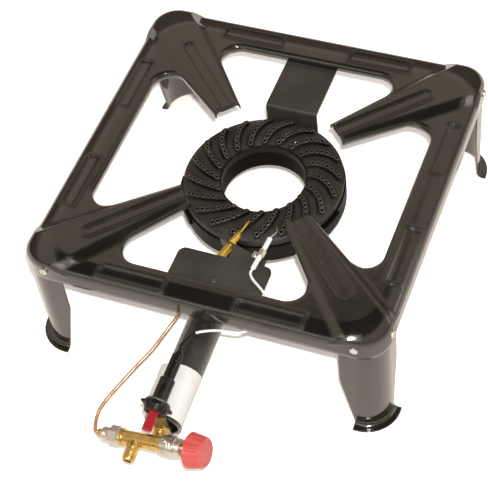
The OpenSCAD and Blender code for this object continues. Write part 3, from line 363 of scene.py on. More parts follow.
# %% Cast iron
def near_axis(tree, outer, inner):
    """Fades from 0 at the outer distance from the burner's axis to 1 at the inner one."""
    place = put(tree, "TexCoord").outputs["Object"]
    flat = put(tree, "VectorMath", {0: place, 1: (1, 1, 0)}, operation="MULTIPLY").outputs[0]
    away = put(tree, "VectorMath", {0: flat}, operation="LENGTH").outputs["Value"]
    return put(tree, "MapRange", {"Value": away, "From Min": outer, "From Max": inner}).outputs[0]


# Near-black colour of painted shade in hollows, on the ring's inner wall and in the ports' holes.
SHADE_BLACK = (0.002, 0.0018, 0.0016, 1)


def cast_iron(name, depth, shiny, matt, specular, coat, dark=(0.016, 0.0135, 0.011, 1),
              lit=(0.030, 0.025, 0.019, 1), ior=1.5, heated=0.5):
    """Dark and lit are the paint's colours, where thick and thin. Shiny and matt are the
    roughness of specks and of the rest. Coat is the weight of glossy paint (away from the
    heat, near it), and heated is how much of the specular level the heat leaves."""
    material, tree, shader = new_finish(name)
    patch = use(tree, SMUDGES, Scale=45, Low=0.4, High=0.7)[0]
    specks = use(tree, SPECKS, Scale=620, Size=0.42)[0]
    # Ambient occlusion mask: 0 in hollows, where the paint is darkened as painted shade, 1 on open
    # faces.
    unshaded = use(tree, OPEN, Reach=0.0045)[0]
    skin = use(tree, GRAIN, Scale=380)[0]
    paint = blend_colours(tree, patch, dark, lit)
    burnt = near_axis(tree, outer=0.125, inner=0.095)
    # Painted shade on the ring's inner wall, found by its distance from the axis.
    wall_shade = near_axis(tree, outer=0.0495, inner=0.0475)
    shaded_paint = blend_colours(tree, unshaded, SHADE_BLACK, paint)
    base = blend_colours(tree, wall_shade, shaded_paint, SHADE_BLACK)
    dull = put(tree, "Math", {0: burnt, 1: 0.30, 2: matt}, operation="MULTIPLY_ADD")
    rough = put(tree, "Mix", {0: specks, 2: dull.outputs[0], 3: shiny}, data_type="FLOAT")
    bright = spread(tree, burnt, specular, heated * specular)
    # The shine is dimmed in hollows and on the inner wall, along with the painted shade.
    faint = put(tree, "Math", {0: bright, 1: spread(tree, wall_shade, 1.0, 0.3)},
                operation="MULTIPLY").outputs[0]
    shine = put(tree, "Math", {0: unshaded, 1: faint}, operation="MULTIPLY").outputs[0]
    pits = put(tree, "Math", {0: specks, 1: 0.6, 2: skin}, operation="MULTIPLY_ADD").outputs[0]
    normal = bumped(tree, pits, depth, 0.7 * MM)
    dress(tree, shader, {"Base Color": base, "Roughness": rough.outputs[0],
                         "Specular IOR Level": shine, "Normal": normal, "Coat Normal": normal,
                         "Coat Weight": spread(tree, burnt, *coat)},
          IOR=ior, Coat_IOR=ior, Coat_Roughness=0.07)
    return material


CAST_IRON = cast_iron("cast_iron", depth=1.0 * MM, shiny=0.10, matt=0.24, specular=0.8,
                      coat=(1.0, 0.05), dark=(0.005, 0.0045, 0.004, 1),
                      lit=(0.009, 0.0075, 0.006, 1), heated=0.15)
CAP_IRON = cast_iron("cap_iron", depth=0.5 * MM, shiny=0.14, matt=0.20, specular=0.9,
                     coat=(0.3, 0.12))
BEAD_IRON = cast_iron("bead_iron", depth=0.3 * MM, shiny=0.10, matt=0.10, specular=1.0,
                      coat=(1.0, 1.0), dark=(0.010, 0.0085, 0.007, 1), ior=1.8)
# Near-black matt finish: painted shade for the ports' holes.
PORT_SHADE = cast_iron("painted_port_shade", depth=0.0, shiny=0.6, matt=0.6, specular=0.1, coat=(0.0, 0.0),
                 dark=SHADE_BLACK, lit=SHADE_BLACK)
print("finish:", CAST_IRON.name, CAP_IRON.name, BEAD_IRON.name, PORT_SHADE.name)

# %% [markdown]
# ## Bare metals
# Zinc, brass and copper share one recipe: a metal colour that is tarnished in patches, fine
# drawn or turned grain in the roughness, and tiny dents. Each could have its own tree, but
# only the colours and amounts differ, so one function makes them all.

# %% Metals
def metal(name, clean, tarnished, shine):
    """Metal that goes from clean to tarnished. Shine is the roughness of (clean, tarnished)."""
    material, tree, shader = new_finish(name)
    patch = use(tree, SMUDGES, Scale=110, Low=0.42, High=0.72)[0]
    fine = use(tree, GRAIN, Scale=1500)[0]
    worn = use(tree, EDGES, Radius=0.0004, Amount=0.6)[0]
    base = blend_colours(tree, patch, clean, tarnished)
    bright = tuple(min(1, 1.25 * c) for c in clean[:3]) + (1,)
    edged = blend_colours(tree, worn, base, bright)
    rough = put(tree, "Math", {0: spread(tree, patch, *shine), 1: spread(tree, fine, 0, 0.12)},
                operation="ADD").outputs[0]
    dent = use(tree, GRAIN, Scale=260)[0]
    dress(tree, shader, {"Base Color": edged, "Roughness": rough,
                         "Normal": bumped(tree, dent, 0.03 * MM, 0.4 * MM)}, Metallic=1.0)
    return material


ZINC = metal("zinc_steel", (0.86, 0.83, 0.77, 1), (0.72, 0.68, 0.60, 1), shine=(0.22, 0.40))
BRASS = metal("brass", (0.88, 0.64, 0.24, 1), (0.70, 0.46, 0.15, 1), shine=(0.14, 0.34))
# The probe's brass is painted brighter and yellower than the valve's: painted light, as it faces
# dark surroundings.
LIT_PROBE_BRASS = metal("probe_brass_painted_light", (0.95, 0.66, 0.14, 1), (0.80, 0.50, 0.09, 1), shine=(0.34, 0.46))
COPPER = metal("copper", (0.70, 0.42, 0.27, 1), (0.52, 0.29, 0.18, 1), shine=(0.36, 0.50))
# The leg screws' zinc is painted whiter than the rest: a painted glint for the flash on their
# domes.
GLINT_ZINC = metal("zinc_painted_glint", (0.95, 0.93, 0.88, 1), (0.78, 0.74, 0.67, 1), shine=(0.36, 0.46))
GREY_STEEL = metal("grey_steel", (0.34, 0.32, 0.29, 1), (0.20, 0.185, 0.165, 1), shine=(0.28, 0.42))
HOT_STEEL = metal("hot_steel", (0.85, 0.74, 0.66, 1), (0.55, 0.42, 0.35, 1), shine=(0.36, 0.5))
print("finishes:", ZINC.name, BRASS.name, COPPER.name, HOT_STEEL.name)

# %% [markdown]
# ## Plastics, ceramic, silicone and paper
# These are dielectrics: the colour comes from inside the material and the shine lies on top.
# Moulded plastic is smooth with a trace of grain, fired ceramic is glassy, silicone is dull,
# and the label is coated paper. They too share one recipe, because they differ only in how
# rough they are, how deep their grain is, and how grubby they have become.

# %% Dielectrics
def dielectric(name, colour, grubby, rough, grain=800, depth=0.03 * MM, **plain):
    """Colour that goes to grubby in patches. Rough is the roughness of (colour, grubby)."""
    material, tree, shader = new_finish(name)
    smudge = use(tree, SMUDGES, Scale=60, Low=0.42, High=0.75)[0]
    base = blend_colours(tree, smudge, colour, grubby)
    height = use(tree, GRAIN, Scale=grain)[0]
    dress(tree, shader, {"Base Color": base, "Roughness": spread(tree, smudge, *rough),
                         "Normal": bumped(tree, height, depth, 0.5 * MM)}, **plain)
    return material


KNOB_RED = dielectric("knob_red", (0.62, 0.085, 0.078, 1), (0.54, 0.070, 0.064, 1), (0.24, 0.36),
                      Coat_Weight=0.35)
BUTTON_RED = dielectric("button_red", (0.36, 0.012, 0.026, 1), (0.30, 0.010, 0.020, 1),
                        (0.16, 0.26), Coat_Weight=0.3)
BLACK_PLASTIC = dielectric("black_plastic", (0.007, 0.0066, 0.006, 1), (0.014, 0.013, 0.011, 1),
                           (0.20, 0.34), grain=260, depth=0.12 * MM)
CERAMIC = dielectric("white_ceramic", (0.86, 0.84, 0.78, 1), (0.76, 0.73, 0.66, 1), (0.18, 0.30),
                     Coat_Weight=0.4)
SILICONE = dielectric("white_silicone", (0.84, 0.82, 0.77, 1), (0.70, 0.67, 0.61, 1), (0.42, 0.55))
PAPER = dielectric("label_paper", (0.77, 0.75, 0.70, 1), (0.70, 0.67, 0.60, 1), (0.30, 0.42),
                   grain=300, depth=0.06 * MM)
print("finishes:", KNOB_RED.name, BUTTON_RED.name, BLACK_PLASTIC.name, CERAMIC.name,
      SILICONE.name, PAPER.name)

# %% [markdown]
# ## Dressing the solids
# Each solid keeps its mesh and only gets a finish. That could be one call beside every piece,
# but a table from finish to pieces is easier to check against the real object. The last line
# prints what the table forgot, which has to be nothing.

# %% Give each solid its finish
FINISHES = {
    BLACK_ENAMEL: ["top_frame"],
    LEG_ENAMEL: ["leg_front_left", "leg_front_right", "leg_rear_left", "leg_rear_right"],
    SATIN: ["rear_bracket", "front_plate", "sensor_bracket", "bracket_rivets", "plate_screw"],
    CAST_IRON: ["burner_base"],
    CAP_IRON: ["burner_cap"],
    GLINT_ZINC: ["leg_screws"],
    ZINC: ["leg_nuts", "bracket_screws", "cap_screws", "electrode_clamp",
           "clamp_screw", "magnet_nut", "magnet_unit", "bonnet", "bonnet_screw",
           "igniter_piezo", "igniter_spring", "return_spring", "inlet_screen", "knob_screw"],
    GREY_STEEL: ["injector_bridge", "bridge_screws"],
    LIT_PROBE_BRASS: ["thermocouple", "thermocouple_nut"],
    BRASS: ["lead_nut", "injector", "outlet_nut", "valve_body", "push_rod", "spindle"],
    COPPER: ["copper_lead"],
    HOT_STEEL: ["electrode_wire"],
    CERAMIC: ["electrode_ceramic"],
    SILICONE: ["ignition_cable"],
    BLACK_PLASTIC: ["igniter_body", "igniter_nut", "igniter_cap"],
    BUTTON_RED: ["igniter_button"],
    KNOB_RED: ["knob", "knob_cap"],
    PAPER: ["label_sleeve"],
}
for finish, names in FINISHES.items():
    for name in names:
        nodes[name].data.materials.clear()
        nodes[name].data.materials.append(finish)
bare = sorted(set(nodes) - {n for names in FINISHES.values() for n in names})
print("solids without a finish:", bare)

# %% [markdown]
# ## Surfaces from arrays
# A grid of points is a surface. It could be modelled by hand, or built point by point in a
# loop. Whole arrays give every point at once instead, and the faces follow from the grid's own
# numbering. Where the grid wraps round, its last row joins its first, and open ends are closed
# with a cap, so every mesh is closed.

# %% Grid helper
def grid_faces(rows, cols, wrap_rows, wrap_cols):
    """Quads (i, j), (i+1, j), (i+1, j+1), (i, j+1) of a grid, wrapped round where asked."""
    i, j = np.meshgrid(np.arange(rows - (not wrap_rows)), np.arange(cols - (not wrap_cols)),
                       indexing="ij")
    i2, j2 = (i + 1) % rows, (j + 1) % cols
    corners = [i * cols + j, i2 * cols + j, i2 * cols + j2, i * cols + j2]
    return np.stack(corners, -1).reshape(-1, 4)


def add_piece(name, points, faces, finish, body, smooth_angle=None, caps=()):
    """Makes a mesh of points in metres and quads, gives it a finish, and rides it on a body."""
    mesh = bpy.data.meshes.new(name)
    mesh.from_pydata(np.asarray(points).reshape(-1, 3).tolist(), [],
                     np.asarray(faces).tolist() + [list(map(int, cap)) for cap in caps])
    mesh.polygons.foreach_set("use_smooth", np.ones(len(mesh.polygons), bool))
    if smooth_angle is not None:
        mesh.set_sharp_from_angle(angle=smooth_angle)
    mesh.materials.append(finish)
    piece = bpy.data.objects.new(name, mesh)
    bpy.context.scene.collection.objects.link(piece)
    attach(piece, body)
    print(f"{name}: {len(mesh.vertices)} vertices, {len(mesh.polygons)} faces")
    return piece


print("quads of a 2 by 2 grid:", grid_faces(2, 2, False, False).tolist())

# %% [markdown]
# ## Where the tube and the valve are
# The mixing tube dips 6 degrees toward the valve, and the valve is rolled 12 degrees about it.
# A new object could be turned into place, but the export wants every mesh in its final place
# under an unturned object. So each shape is worked out in the tube's or the valve's own axes,
# where its formula is short, and then its points are turned.

# %% Frames of the tube and the valve
TUBE_DIP, TUBE_PLACE = 6, (0, -182, 91)
VALVE_ROLL, VALVE_PLACE = -12, (0, -143, 0)


def turned(points, axis, degrees):
    """Points turned about a main axis, by the usual rotation matrix."""
    return points @ np.array(Matrix.Rotation(np.radians(degrees), 3, axis)).T


def from_tube(points):
    """Tube frame in mm to world in metres: X right, -Y out along the tube, Z up from its axis."""
    return (turned(np.asarray(points, float), "X", TUBE_DIP) + TUBE_PLACE) * MM


def from_valve(points):
    """Valve frame to world: X along the spindle to the knob, -Y out along the tube."""
    return from_tube(turned(np.asarray(points, float), "Y", VALVE_ROLL) + VALVE_PLACE)


print("valve centre:", np.round(from_valve([0, 0, 0]), 4).tolist())

# %% [markdown]
# ## Drawn tubes
# The copper lead, the ignition cable and the electrode's wire are round all along. In the
# solids they are chains of short straight pieces. A bevelled curve would be round but is no
# mesh, so each is a circle carried along a smooth path. The circle needs two directions across
# the path, and the direction that the path uses least gives them: crossed with the path's own
# direction it never vanishes, so the tube doesn't twist.

# %% Swept tube
def smooth_path(points, steps):
    """Catmull-Rom curve: between b and c the point is a cubic in t of a, b, c and d."""
    p = np.asarray(points, float)
    p = np.vstack([p[:1], p, p[-1:]])
    a, b, c, d = (p[k:len(p) - 3 + k, None, :] for k in range(4))
    t = np.linspace(0, 1, steps, endpoint=False)[None, :, None]
    curve = 0.5 * (2 * b + (c - a) * t + (2 * a - 5 * b + 4 * c - d) * t ** 2
                   + (3 * b - a - 3 * c + d) * t ** 3)
    return np.vstack([curve.reshape(-1, 3), p[-1:]])


def path_length(path):
    """Sum of the distances between neighbouring points."""
    return float(np.linalg.norm(np.diff(path, axis=0), axis=1).sum())


def swept_tube(path, radius, sides=20):
    """Circle of the radius round each point: path + radius (cos u N + sin u B), where N and B
    are across the path. The radius may be one number or one for each point."""
    tangent = np.gradient(path, axis=0)
    tangent /= np.linalg.norm(tangent, axis=1)[:, None]
    least = np.linalg.svd(tangent, full_matrices=False)[2][-1]
    n = np.cross(tangent, least)
    n /= np.linalg.norm(n, axis=1)[:, None]
    b = np.cross(tangent, n)
    u = np.linspace(0, 2 * np.pi, sides, endpoint=False)[None, :, None]
    r = np.broadcast_to(radius, len(path))[:, None, None]
    points = path[:, None] + r * (np.cos(u) * n[:, None] + np.sin(u) * b[:, None])
    rows = len(path)
    caps = [range(sides), range(rows * sides - 1, (rows - 1) * sides - 1, -1)]
    return points, grid_faces(rows, sides, False, True)[:, ::-1], caps


print("tube helpers ready")

# %% [markdown]
# ## Copper lead
# The thermocouple's lead is a thin copper tube. It leaves the probe's foot under the frame,
# runs out beside the mixing tube and hooks into the nut on the valve's left end. Its points
# follow the lead that it replaces, and the last ones are in the valve's own axes, so the hook
# meets the nut squarely.

# %% Copper lead
LEAD_R = 1.86 * MM
FOOT = np.array([-5, -121, 123.0])
PROBE = np.array([15.4, 52.2, 7.0]) / np.linalg.norm([15.4, 52.2, 7.0])
lead_route = np.vstack([
    FOOT + 4 * PROBE, FOOT - 6 * PROBE,
    [[-10, -141, 120], [-15, -165, 119], [-20.5, -199, 118.5], [-27, -218, 113],
     [-34.5, -238, 106], [-43, -254, 100.5], [-50.5, -269, 95.5], [-57, -283, 91.5],
     [-63, -297, 87.5], [-67, -307, 82.5]],
    from_valve([[-67.2, 9.6, 13.4], [-68.9, 4.4, 7.4], [-70, 1.6, 3.4], [-69.1, 0.4, 0.9],
                [-67, 0, 0], [-64, 0, 0], [-58, 0, 0]]) / MM,
]) * MM
lead = smooth_path(lead_route, 8)
points, faces, caps = swept_tube(lead, LEAD_R)
copper = add_piece("lead_tube", points, faces, COPPER, "stand", caps=caps)
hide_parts("copper_lead")
print("copper lead:", round(path_length(lead), 3), "m")

# %% [markdown]
# ## Ignition cable
# A white silicone cable runs from the electrode's foot, under the front rail and over the
# mixing tube, into the igniter's rear boot. It is held at both ends, so it needs no cloth or
# rope simulation: a path through a few points bends as gently as silicone does. Just before
# the boot it wears a short black sleeve, shrunk on with heat, on the same path.

# %% Ignition cable
CABLE_R, SLEEVE_R, SLEEVE_END_R = 1.37 * MM, 1.9 * MM, 1.5 * MM
SLEEVE_STEPS = slice(-26, -8)
IGNITER_UP = 36
CERAMIC_FOOT = np.array([38.8, -133, 137.5])
CERAMIC_TOP = np.array([42.4, -90, 137.5])
ALONG = (CERAMIC_TOP - CERAMIC_FOOT) / np.linalg.norm(CERAMIC_TOP - CERAMIC_FOOT)


def from_igniter(s, n=0.0, x=-1.0):
    """Point s mm out along the igniter's axis, n mm above it and x mm to its right."""
    return from_tube([x, -s, IGNITER_UP + n]) / MM


cable_route = np.vstack([
    CERAMIC_FOOT + 2 * ALONG, CERAMIC_FOOT - 1.5 * ALONG,
    [[38.5, -139, 137.4], [44, -146, 137.2], [57, -155, 135.8], [63.5, -161.5, 131],
     [63, -176, 122.4], [58, -192, 120.4], [48, -201, 120], [30, -204, 120],
     [16, -209, 120.4], [5, -217, 121.6]],
    from_igniter(47, 0.4, -1.5), from_igniter(56), from_igniter(68.5),
]) * MM
cable_line = smooth_path(cable_route, 8)
points, faces, caps = swept_tube(cable_line, CABLE_R)
cable = add_piece("cable_tube", points, faces, SILICONE, "stand", caps=caps)
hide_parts("ignition_cable")
shrunk = cable_line[SLEEVE_STEPS]
sleeve_radius = np.full(len(shrunk), SLEEVE_R)
sleeve_radius[[0, -1]] = SLEEVE_END_R
points, faces, caps = swept_tube(shrunk, sleeve_radius)
add_piece("shrink_sleeve", points, faces, BLACK_PLASTIC, "stand", caps=caps)
print("ignition cable:", round(path_length(cable_line), 3), "m")

# %% [markdown]
# ## Electrode wire
# The spark jumps from a bare steel wire that leaves the ceramic and bends down to the ribs.
# Its end is drawn out thin. A cone on the end would show a seam, so the tube's own radius
# shrinks over the last steps of the path.

# %% Electrode wire
WIRE_R = 0.8 * MM
wire_route = np.vstack([
    CERAMIC_TOP - 20 * ALONG, CERAMIC_TOP,
    [[43.4, -86, 137.4], [45.2, -81, 136.6], [44.8, -76, 134.5], [41.2, -68.5, 130.5]],
]) * MM
wire_line = smooth_path(wire_route, 10)
steps_left = np.arange(len(wire_line))[::-1]
wire_radius = WIRE_R * np.minimum(1, 0.35 + 0.15 * steps_left)
points, faces, caps = swept_tube(wire_line, wire_radius, sides=16)
spark = add_piece("spark_wire", points, faces, HOT_STEEL, "stand", caps=caps)
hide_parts("electrode_wire")

# %% [markdown]
# ## Threads and turned rings
# A thread is a ridge that climbs by its pitch in each turn. A Screw modifier could sweep it,
# but it leaves ends to be closed by hand. On a grid of the angle and the distance along the
# axis, the radius is a triangle wave of distance over pitch plus the turn. With no climb the
# same formula gives separate turned rings.

# %% Ridged sleeve
def ridged_sleeve(start, end, inner, root, crest, pitch, climb, rings=96, per_pitch=8):
    """Closed sleeve about the x axis. Its outer radius is root plus (crest - root) times a
    triangle wave of x / pitch + climb * turn, flat at crest and root, faded at both ends."""
    steps = int((end - start) / pitch * per_pitch)
    x = np.linspace(start, end, steps)[None, :]
    turn = np.linspace(0, 1, rings, endpoint=False)[:, None]
    phase = (x / pitch + climb * turn) % 1
    wave = 1 - 2 * np.abs(phase - 0.5)
    fade = np.clip(np.minimum(x - start, end - x) / pitch, 0, 1)
    outer = root + (crest - root) * np.clip(1.5 * wave - 0.2, 0, 1) * fade
    radius = np.hstack([np.full((rings, 1), inner), outer, np.full((rings, 1), inner)])
    along = np.broadcast_to(np.hstack([x[:, :1], x, x[:, -1:]]), radius.shape)
    angle = 2 * np.pi * turn
    points = np.stack([along, radius * np.cos(angle), radius * np.sin(angle)], -1)
    return points, grid_faces(rings, along.shape[1], True, True)


def turned_piece(name, place, sleeve, finish):
    """Adds a ridged sleeve after the function place has moved it into the world."""
    points, faces = sleeve
    add_piece(name, place(points.reshape(-1, 3)), faces, finish, "stand",
              smooth_angle=np.radians(35))


print("sleeve helpers ready")

# %% [markdown]
# ## Gas inlet thread
# The stub takes the hose's nut on a thread. In the solids it is a plain cylinder, because a
# cut thread adds many faces and no function there. The stub points forward and 4 degrees down,
# so the sleeve is made along X and turned onto it.

# %% Gas inlet thread
STUB_X, STUB_TILT = -22.5, 4


def from_stub(points):
    """Points about the x axis, turned to point along the stub, then into the valve's place."""
    forward = turned(points, "Z", -90)
    return from_valve(turned(forward, "X", STUB_TILT) + (STUB_X, 0, 0))


thread = ridged_sleeve(11.0, 22.4, inner=6.2, root=6.55, crest=7.0, pitch=1.35, climb=1)
turned_piece("inlet_thread", from_stub, thread, BRASS)

# %% [markdown]
# ## Turned rings on the valve
# The valve's silver ends are turned bar. The tool leaves shallow rings round them, which
# catch the light as fine bright lines. A bump could darken them, but real ridges also break
# the outline a little, as on the real bar.

# %% Turned rings
TURNED_RINGS = {
    "bonnet_rings": dict(start=16.6, end=25.0, inner=10.3, root=10.5, crest=11.1, pitch=2.8),
    "bonnet_collar": dict(start=27.0, end=30.6, inner=9.0, root=9.1, crest=9.6, pitch=1.8),
    "nut_rings": dict(start=-59.8, end=-54.0, inner=7.2, root=7.35, crest=7.6, pitch=1.4),
}
for name, sizes in TURNED_RINGS.items():
    turned_piece(name, from_valve, ridged_sleeve(**sizes, climb=0), ZINC)

# %% [markdown]
# ## Port beads
# Each flame port in the cap's spiral ribs is ringed by a small cast bead. Inside the bead lies a
# near-black ring, painted shade for the port's dark hole. A hundred and sixty copies of one
# object would each ride alone, so all beads are one mesh and all shade rings another. Each is an
# array: ribs by ports by points of a ring. A ring's height follows the rib's own top, a circle's
# arc about the burner's axis, and it has only 84 faces because it is repeated so often.

# %% Port beads
RIBS, PORTS = 20, 8
RIB_IN, RIB_OUT, RIB_SWEEP, RIB_BOW = 51.0, 83.0, np.radians(20.5), 4.0
CAP_MID, CAP_SPAN, DOME_RISE, CREST, RIB_H = 67.5, 21.0, 6.0, 124.5, 2.8
DOME_R = (CAP_SPAN ** 2 + DOME_RISE ** 2) / (2 * DOME_RISE)


def port_centres():
    """Points along the arc through a rib's two ends that bows out by RIB_BOW."""
    p0 = np.array([RIB_IN, 0])
    p1 = RIB_OUT * np.array([np.cos(RIB_SWEEP), -np.sin(RIB_SWEEP)])
    chord = np.linalg.norm(p1 - p0)
    radius = (chord ** 2 / 4 + RIB_BOW ** 2) / (2 * RIB_BOW)
    across = np.array([-(p1 - p0)[1], (p1 - p0)[0]]) / chord
    middle = (p0 + p1) / 2 - across * (radius - RIB_BOW)
    a0, a1 = (np.arctan2(*(p - middle)[::-1]) for p in (p0, p1))
    angle = a0 + (a1 - a0) * np.linspace(0, 1, PORTS)
    return middle + radius * np.stack([np.cos(angle), np.sin(angle)], -1)


def rib_top(x, y):
    """Height of a rib's top: DOME_R + RIB_H round a centre under the cap's middle radius."""
    off = np.hypot(x, y) - CAP_MID
    return CREST - DOME_R + np.sqrt((DOME_R + RIB_H) ** 2 - off ** 2)


turn = 2 * np.pi * np.arange(RIBS) / RIBS
spin = np.stack([np.stack([np.cos(turn), -np.sin(turn)], -1),
                 np.stack([np.sin(turn), np.cos(turn)], -1)], 1)
centres = np.einsum("rij,pj->rpi", spin, port_centres())


def port_rings(name, middle, half, rise, finish, around=14, across=6):
    """Rings round the ports. The section is an ellipse on the rib's top: the radius is middle
    plus half times cos v, and the height over the top is rise times sin v."""
    u = np.linspace(0, 2 * np.pi, around, endpoint=False)[:, None]
    v = np.linspace(0, 2 * np.pi, across, endpoint=False)[None, :]
    reach = middle + half * np.cos(v)
    ring = np.stack([reach * np.cos(u), reach * np.sin(u)], -1)
    flat = centres[:, :, None, None, :] + ring
    height = rib_top(flat[..., 0], flat[..., 1]) + rise * np.sin(v)
    rings = np.concatenate([flat, height[..., None]], -1).reshape(-1, around * across, 3)
    first = around * across * np.arange(len(rings))[:, None, None]
    faces = grid_faces(around, across, True, True)[None] + first
    add_piece(name, rings.reshape(-1, 3) * MM, faces.reshape(-1, 4), finish, "stand")


port_rings("port_beads", middle=2.1, half=0.75, rise=0.8, finish=BEAD_IRON)
# A near-black ring inside each bead: painted shade for the port's hole.
port_rings("port_shade_rings", middle=1.5, half=0.5, rise=0.5, finish=PORT_SHADE)

# %% [markdown]
# ## Paper label
# The tube's outer end is wrapped in a glossy paper label, left bare here. Paper never lies
# quite flat: it has slight ripples, and its loose edge stands off where it overlaps. A Cloth
# simulation could do that, but nothing pulls at this sheet, so a formula for its radius is
# enough and gives the same sheet each time. A wall joins its two faces, so the mesh is closed.

# %% Closed sheet
def paper_sheet(outer, thickness):
    """Closed sheet: the outer grid, the same grid pushed in by the thickness, and its rim."""
    rows, cols = outer.shape[:2]
    axis = outer * (0, 1, 0)
    inward = outer - axis
    inward /= np.linalg.norm(inward, axis=-1, keepdims=True)
    points = np.concatenate([outer.reshape(-1, 3), (outer - inward * thickness).reshape(-1, 3)])
    front = grid_faces(rows, cols, False, False)
    back = front[:, ::-1] + rows * cols
    number = np.arange(rows * cols).reshape(rows, cols)
    rim = np.concatenate([number[:-1, 0], number[-1, :-1], number[:0:-1, -1], number[0, :0:-1]])
    after = np.roll(rim, -1)
    wall = np.stack([after, rim, rim + rows * cols, after + rows * cols], -1)
    return points, np.concatenate([front, back, wall])


print("sheet helper ready")

# %% Paper label
LABEL_FROM, LABEL_TO, LABEL_R, PAPER_T = 61.2, 118.2, 19.27, 0.12
OVERLAP, LOOSE_TURN, LIFT, END_AT = 0.2, 0.95, 5.6, np.radians(163)


def label_surface(rows=190, cols=60):
    """Sheet round the tube's axis. The radius is the tube's, plus a ripple that is a product
    of two sines of turn and distance, plus a lift that starts LOOSE_TURN before the loose end
    and grows with a power of the way to it."""
    turn = np.linspace(0, 2 * np.pi + OVERLAP, rows)[:, None]
    s = np.linspace(LABEL_FROM, LABEL_TO, cols)[None, :]
    from_end = turn - 2 * np.pi - OVERLAP
    ripple = 0.05 * np.sin(3.1 * turn + 0.21 * s) * np.sin(0.33 * s + 1.7 * np.cos(turn))
    loose = np.clip(1 + from_end / LOOSE_TURN, 0, 1)
    lift = (LIFT - 0.012 * (s - LABEL_FROM)) * loose ** 1.6 + 0.15 * loose
    radius = LABEL_R + ripple + lift
    angle = from_end + END_AT
    along = np.broadcast_to(-s, radius.shape)
    return np.stack([radius * np.cos(angle), along, radius * np.sin(angle)], -1)


points, faces = paper_sheet(label_surface(), PAPER_T)
label = add_piece("label_paper_sheet", from_tube(points), faces, PAPER, "stand",
                  smooth_angle=np.radians(50))
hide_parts("label_sleeve")

# %% [markdown]
# ## Floor
# The stand is seen on a plain white floor that keeps its shadow. One shader can't do all that
# a studio floor does, so Light Path tells three kinds of ray apart. The camera sees a bright
# diffuse floor, which fades to plain white far from the stand, so no horizon shows. Glossy
# rays see a warm glow, as from a lit white sheet. All others meet an ordinary pale floor.

# %% Floor
def floor_material():
    """Far is 0 up to half a metre from the origin and 1 past 1.1 m."""
    material = bpy.data.materials.new("white_floor")
    material.use_nodes = True
    tree = material.node_tree
    tree.nodes.clear()
    path = put(tree, "LightPath")
    paint = put(tree, "BsdfDiffuse", {"Color": (0.90, 0.88, 0.85, 1)})
    place = put(tree, "TexCoord").outputs["Object"]
    away = put(tree, "VectorMath", {0: place}, operation="LENGTH").outputs["Value"]
    far = put(tree, "MapRange", {"Value": away, "From Min": 0.5, "From Max": 1.1}).outputs[0]
    near = put(tree, "BsdfDiffuse", {"Color": (1.7, 1.62, 1.52, 1)})
    plain = put(tree, "Emission", {"Color": (1, 1, 1, 1), "Strength": 1.0})
    seen = put(tree, "MixShader", {0: far, 1: near.outputs[0], 2: plain.outputs[0]})
    warm = put(tree, "Emission", {"Color": (1.0, 0.88, 0.76, 1), "Strength": 0.95})
    first = put(tree, "MixShader", {0: path.outputs["Is Camera Ray"], 1: paint.outputs[0],
                                    2: seen.outputs[0]})
    last = put(tree, "MixShader", {0: path.outputs["Is Glossy Ray"], 1: first.outputs[0],
                                   2: warm.outputs[0]})
    put(tree, "OutputMaterial", {"Surface": last.outputs[0]})
    return material


FLOOR_HALF = 8.0
corners = np.array([[-1, -1, 0], [1, -1, 0], [1, 1, 0], [-1, 1, 0]]) * FLOOR_HALF
floor_mesh = bpy.data.meshes.new("floor")
floor_mesh.from_pydata(corners.tolist(), [], [[0, 1, 2, 3]])
floor_mesh.materials.append(floor_material())
floor = bpy.data.objects.new("floor", floor_mesh)
bpy.context.scene.collection.objects.link(floor)
print("floor laid:", 2 * FLOOR_HALF, "m wide")

# %% [markdown]
# ## World
# Glossy black shows little of itself and much of the room. An image of a real room could be
# wrapped round the scene, but a room of three tones is enough and needs no file: a warm wall,
# dimmer near the floor, and a dark ceiling. Only glossy rays see it. The camera sees white,
# and everything else is lit by an even soft white.

# %% World
def sky_ramp(tree, value, start, end, low, high):
    """Goes from low to high, smoothly, while the value goes from start to end."""
    ramp = put(tree, "MapRange", {"Value": value, "From Min": start, "From Max": end,
                                  "To Min": low, "To Max": high},
               interpolation_type="SMOOTHSTEP")
    return ramp.outputs[0]


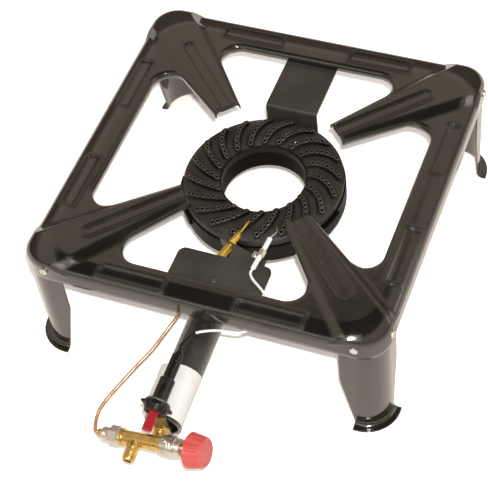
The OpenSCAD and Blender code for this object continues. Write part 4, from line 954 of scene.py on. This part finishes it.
world = bpy.data.worlds.new("studio")
bpy.context.scene.world = world
world.use_nodes = True
sky = world.node_tree
sky.nodes.clear()
height = put(sky, "SeparateXYZ", {0: put(sky, "TexCoord").outputs["Generated"]}).outputs["Z"]
wall = sky_ramp(sky, height, start=0.85, end=0.75, low=0.07, high=0.60)
skirting = sky_ramp(sky, height, start=0.15, end=0.45, low=0.25, high=1.0)
room = put(sky, "Math", {0: wall, 1: skirting}, operation="MULTIPLY")
path = put(sky, "LightPath")
soft = put(sky, "Background", {"Color": (1, 1, 1, 1), "Strength": 0.42})
warm = put(sky, "Background", {"Color": (1.0, 0.82, 0.62, 1), "Strength": room.outputs[0]})
white = put(sky, "Background", {"Color": (1, 1, 1, 1), "Strength": 1.0})
mirrored = put(sky, "MixShader", {0: path.outputs["Is Glossy Ray"], 1: soft.outputs[0],
                                  2: warm.outputs[0]})
seen = put(sky, "MixShader", {0: path.outputs["Is Camera Ray"], 1: mirrored.outputs[0],
                              2: white.outputs[0]})
put(sky, "OutputWorld", {"Surface": seen.outputs[0]})
print("world:", world.name)

# %% [markdown]
# ## Lamps
# A small flash just above the lens gives hard glints and short shadows. Alone it would leave
# every face that looks elsewhere black. More light from the sky would flatten the glossy
# black, so three broad panels at the front and the right draw soft bright bands along the
# rails, the legs and the tube instead.

# %% Lamps
MIDDLE = Vector((0, -0.03, 0.1))
PANEL_COLOUR = (1, 0.94, 0.87)


def area_lamp(name, place, width, height, watts, colour=(1, 1, 1)):
    """Rectangular lamp at place that faces the stand's middle. All lengths are in metres."""
    data = bpy.data.lights.new(name, "AREA")
    data.shape, data.size, data.size_y = "RECTANGLE", width, height
    data.energy, data.color = watts, colour
    lamp = bpy.data.objects.new(name, data)
    lamp.location = place
    lamp.rotation_euler = (MIDDLE - place).to_track_quat("-Z", "Y").to_euler()
    bpy.context.scene.collection.objects.link(lamp)


def panel(name, azimuth, elevation, away, width, height, radiance):
    """Soft panel in the direction given in degrees. A flat lamp's watts are its radiance
    times pi times its area."""
    a, e = np.radians(azimuth), np.radians(elevation)
    toward = Vector((np.cos(e) * np.cos(a), np.cos(e) * np.sin(a), np.sin(e)))
    watts = radiance * np.pi * width * height
    area_lamp(name, MIDDLE + toward * away, width, height, watts, PANEL_COLOUR)


area_lamp("flash", EYE + RIGHT * 0.02 + UP * 0.055, width=0.04, height=0.03, watts=22)
panel("front panel", -68, 52, away=2.3, width=1.3, height=0.8, radiance=0.7)
panel("low panel", -100, 32, away=1.7, width=1.2, height=0.4, radiance=1.6)
panel("right panel", 20, 25, away=1.6, width=0.8, height=0.5, radiance=1.5)
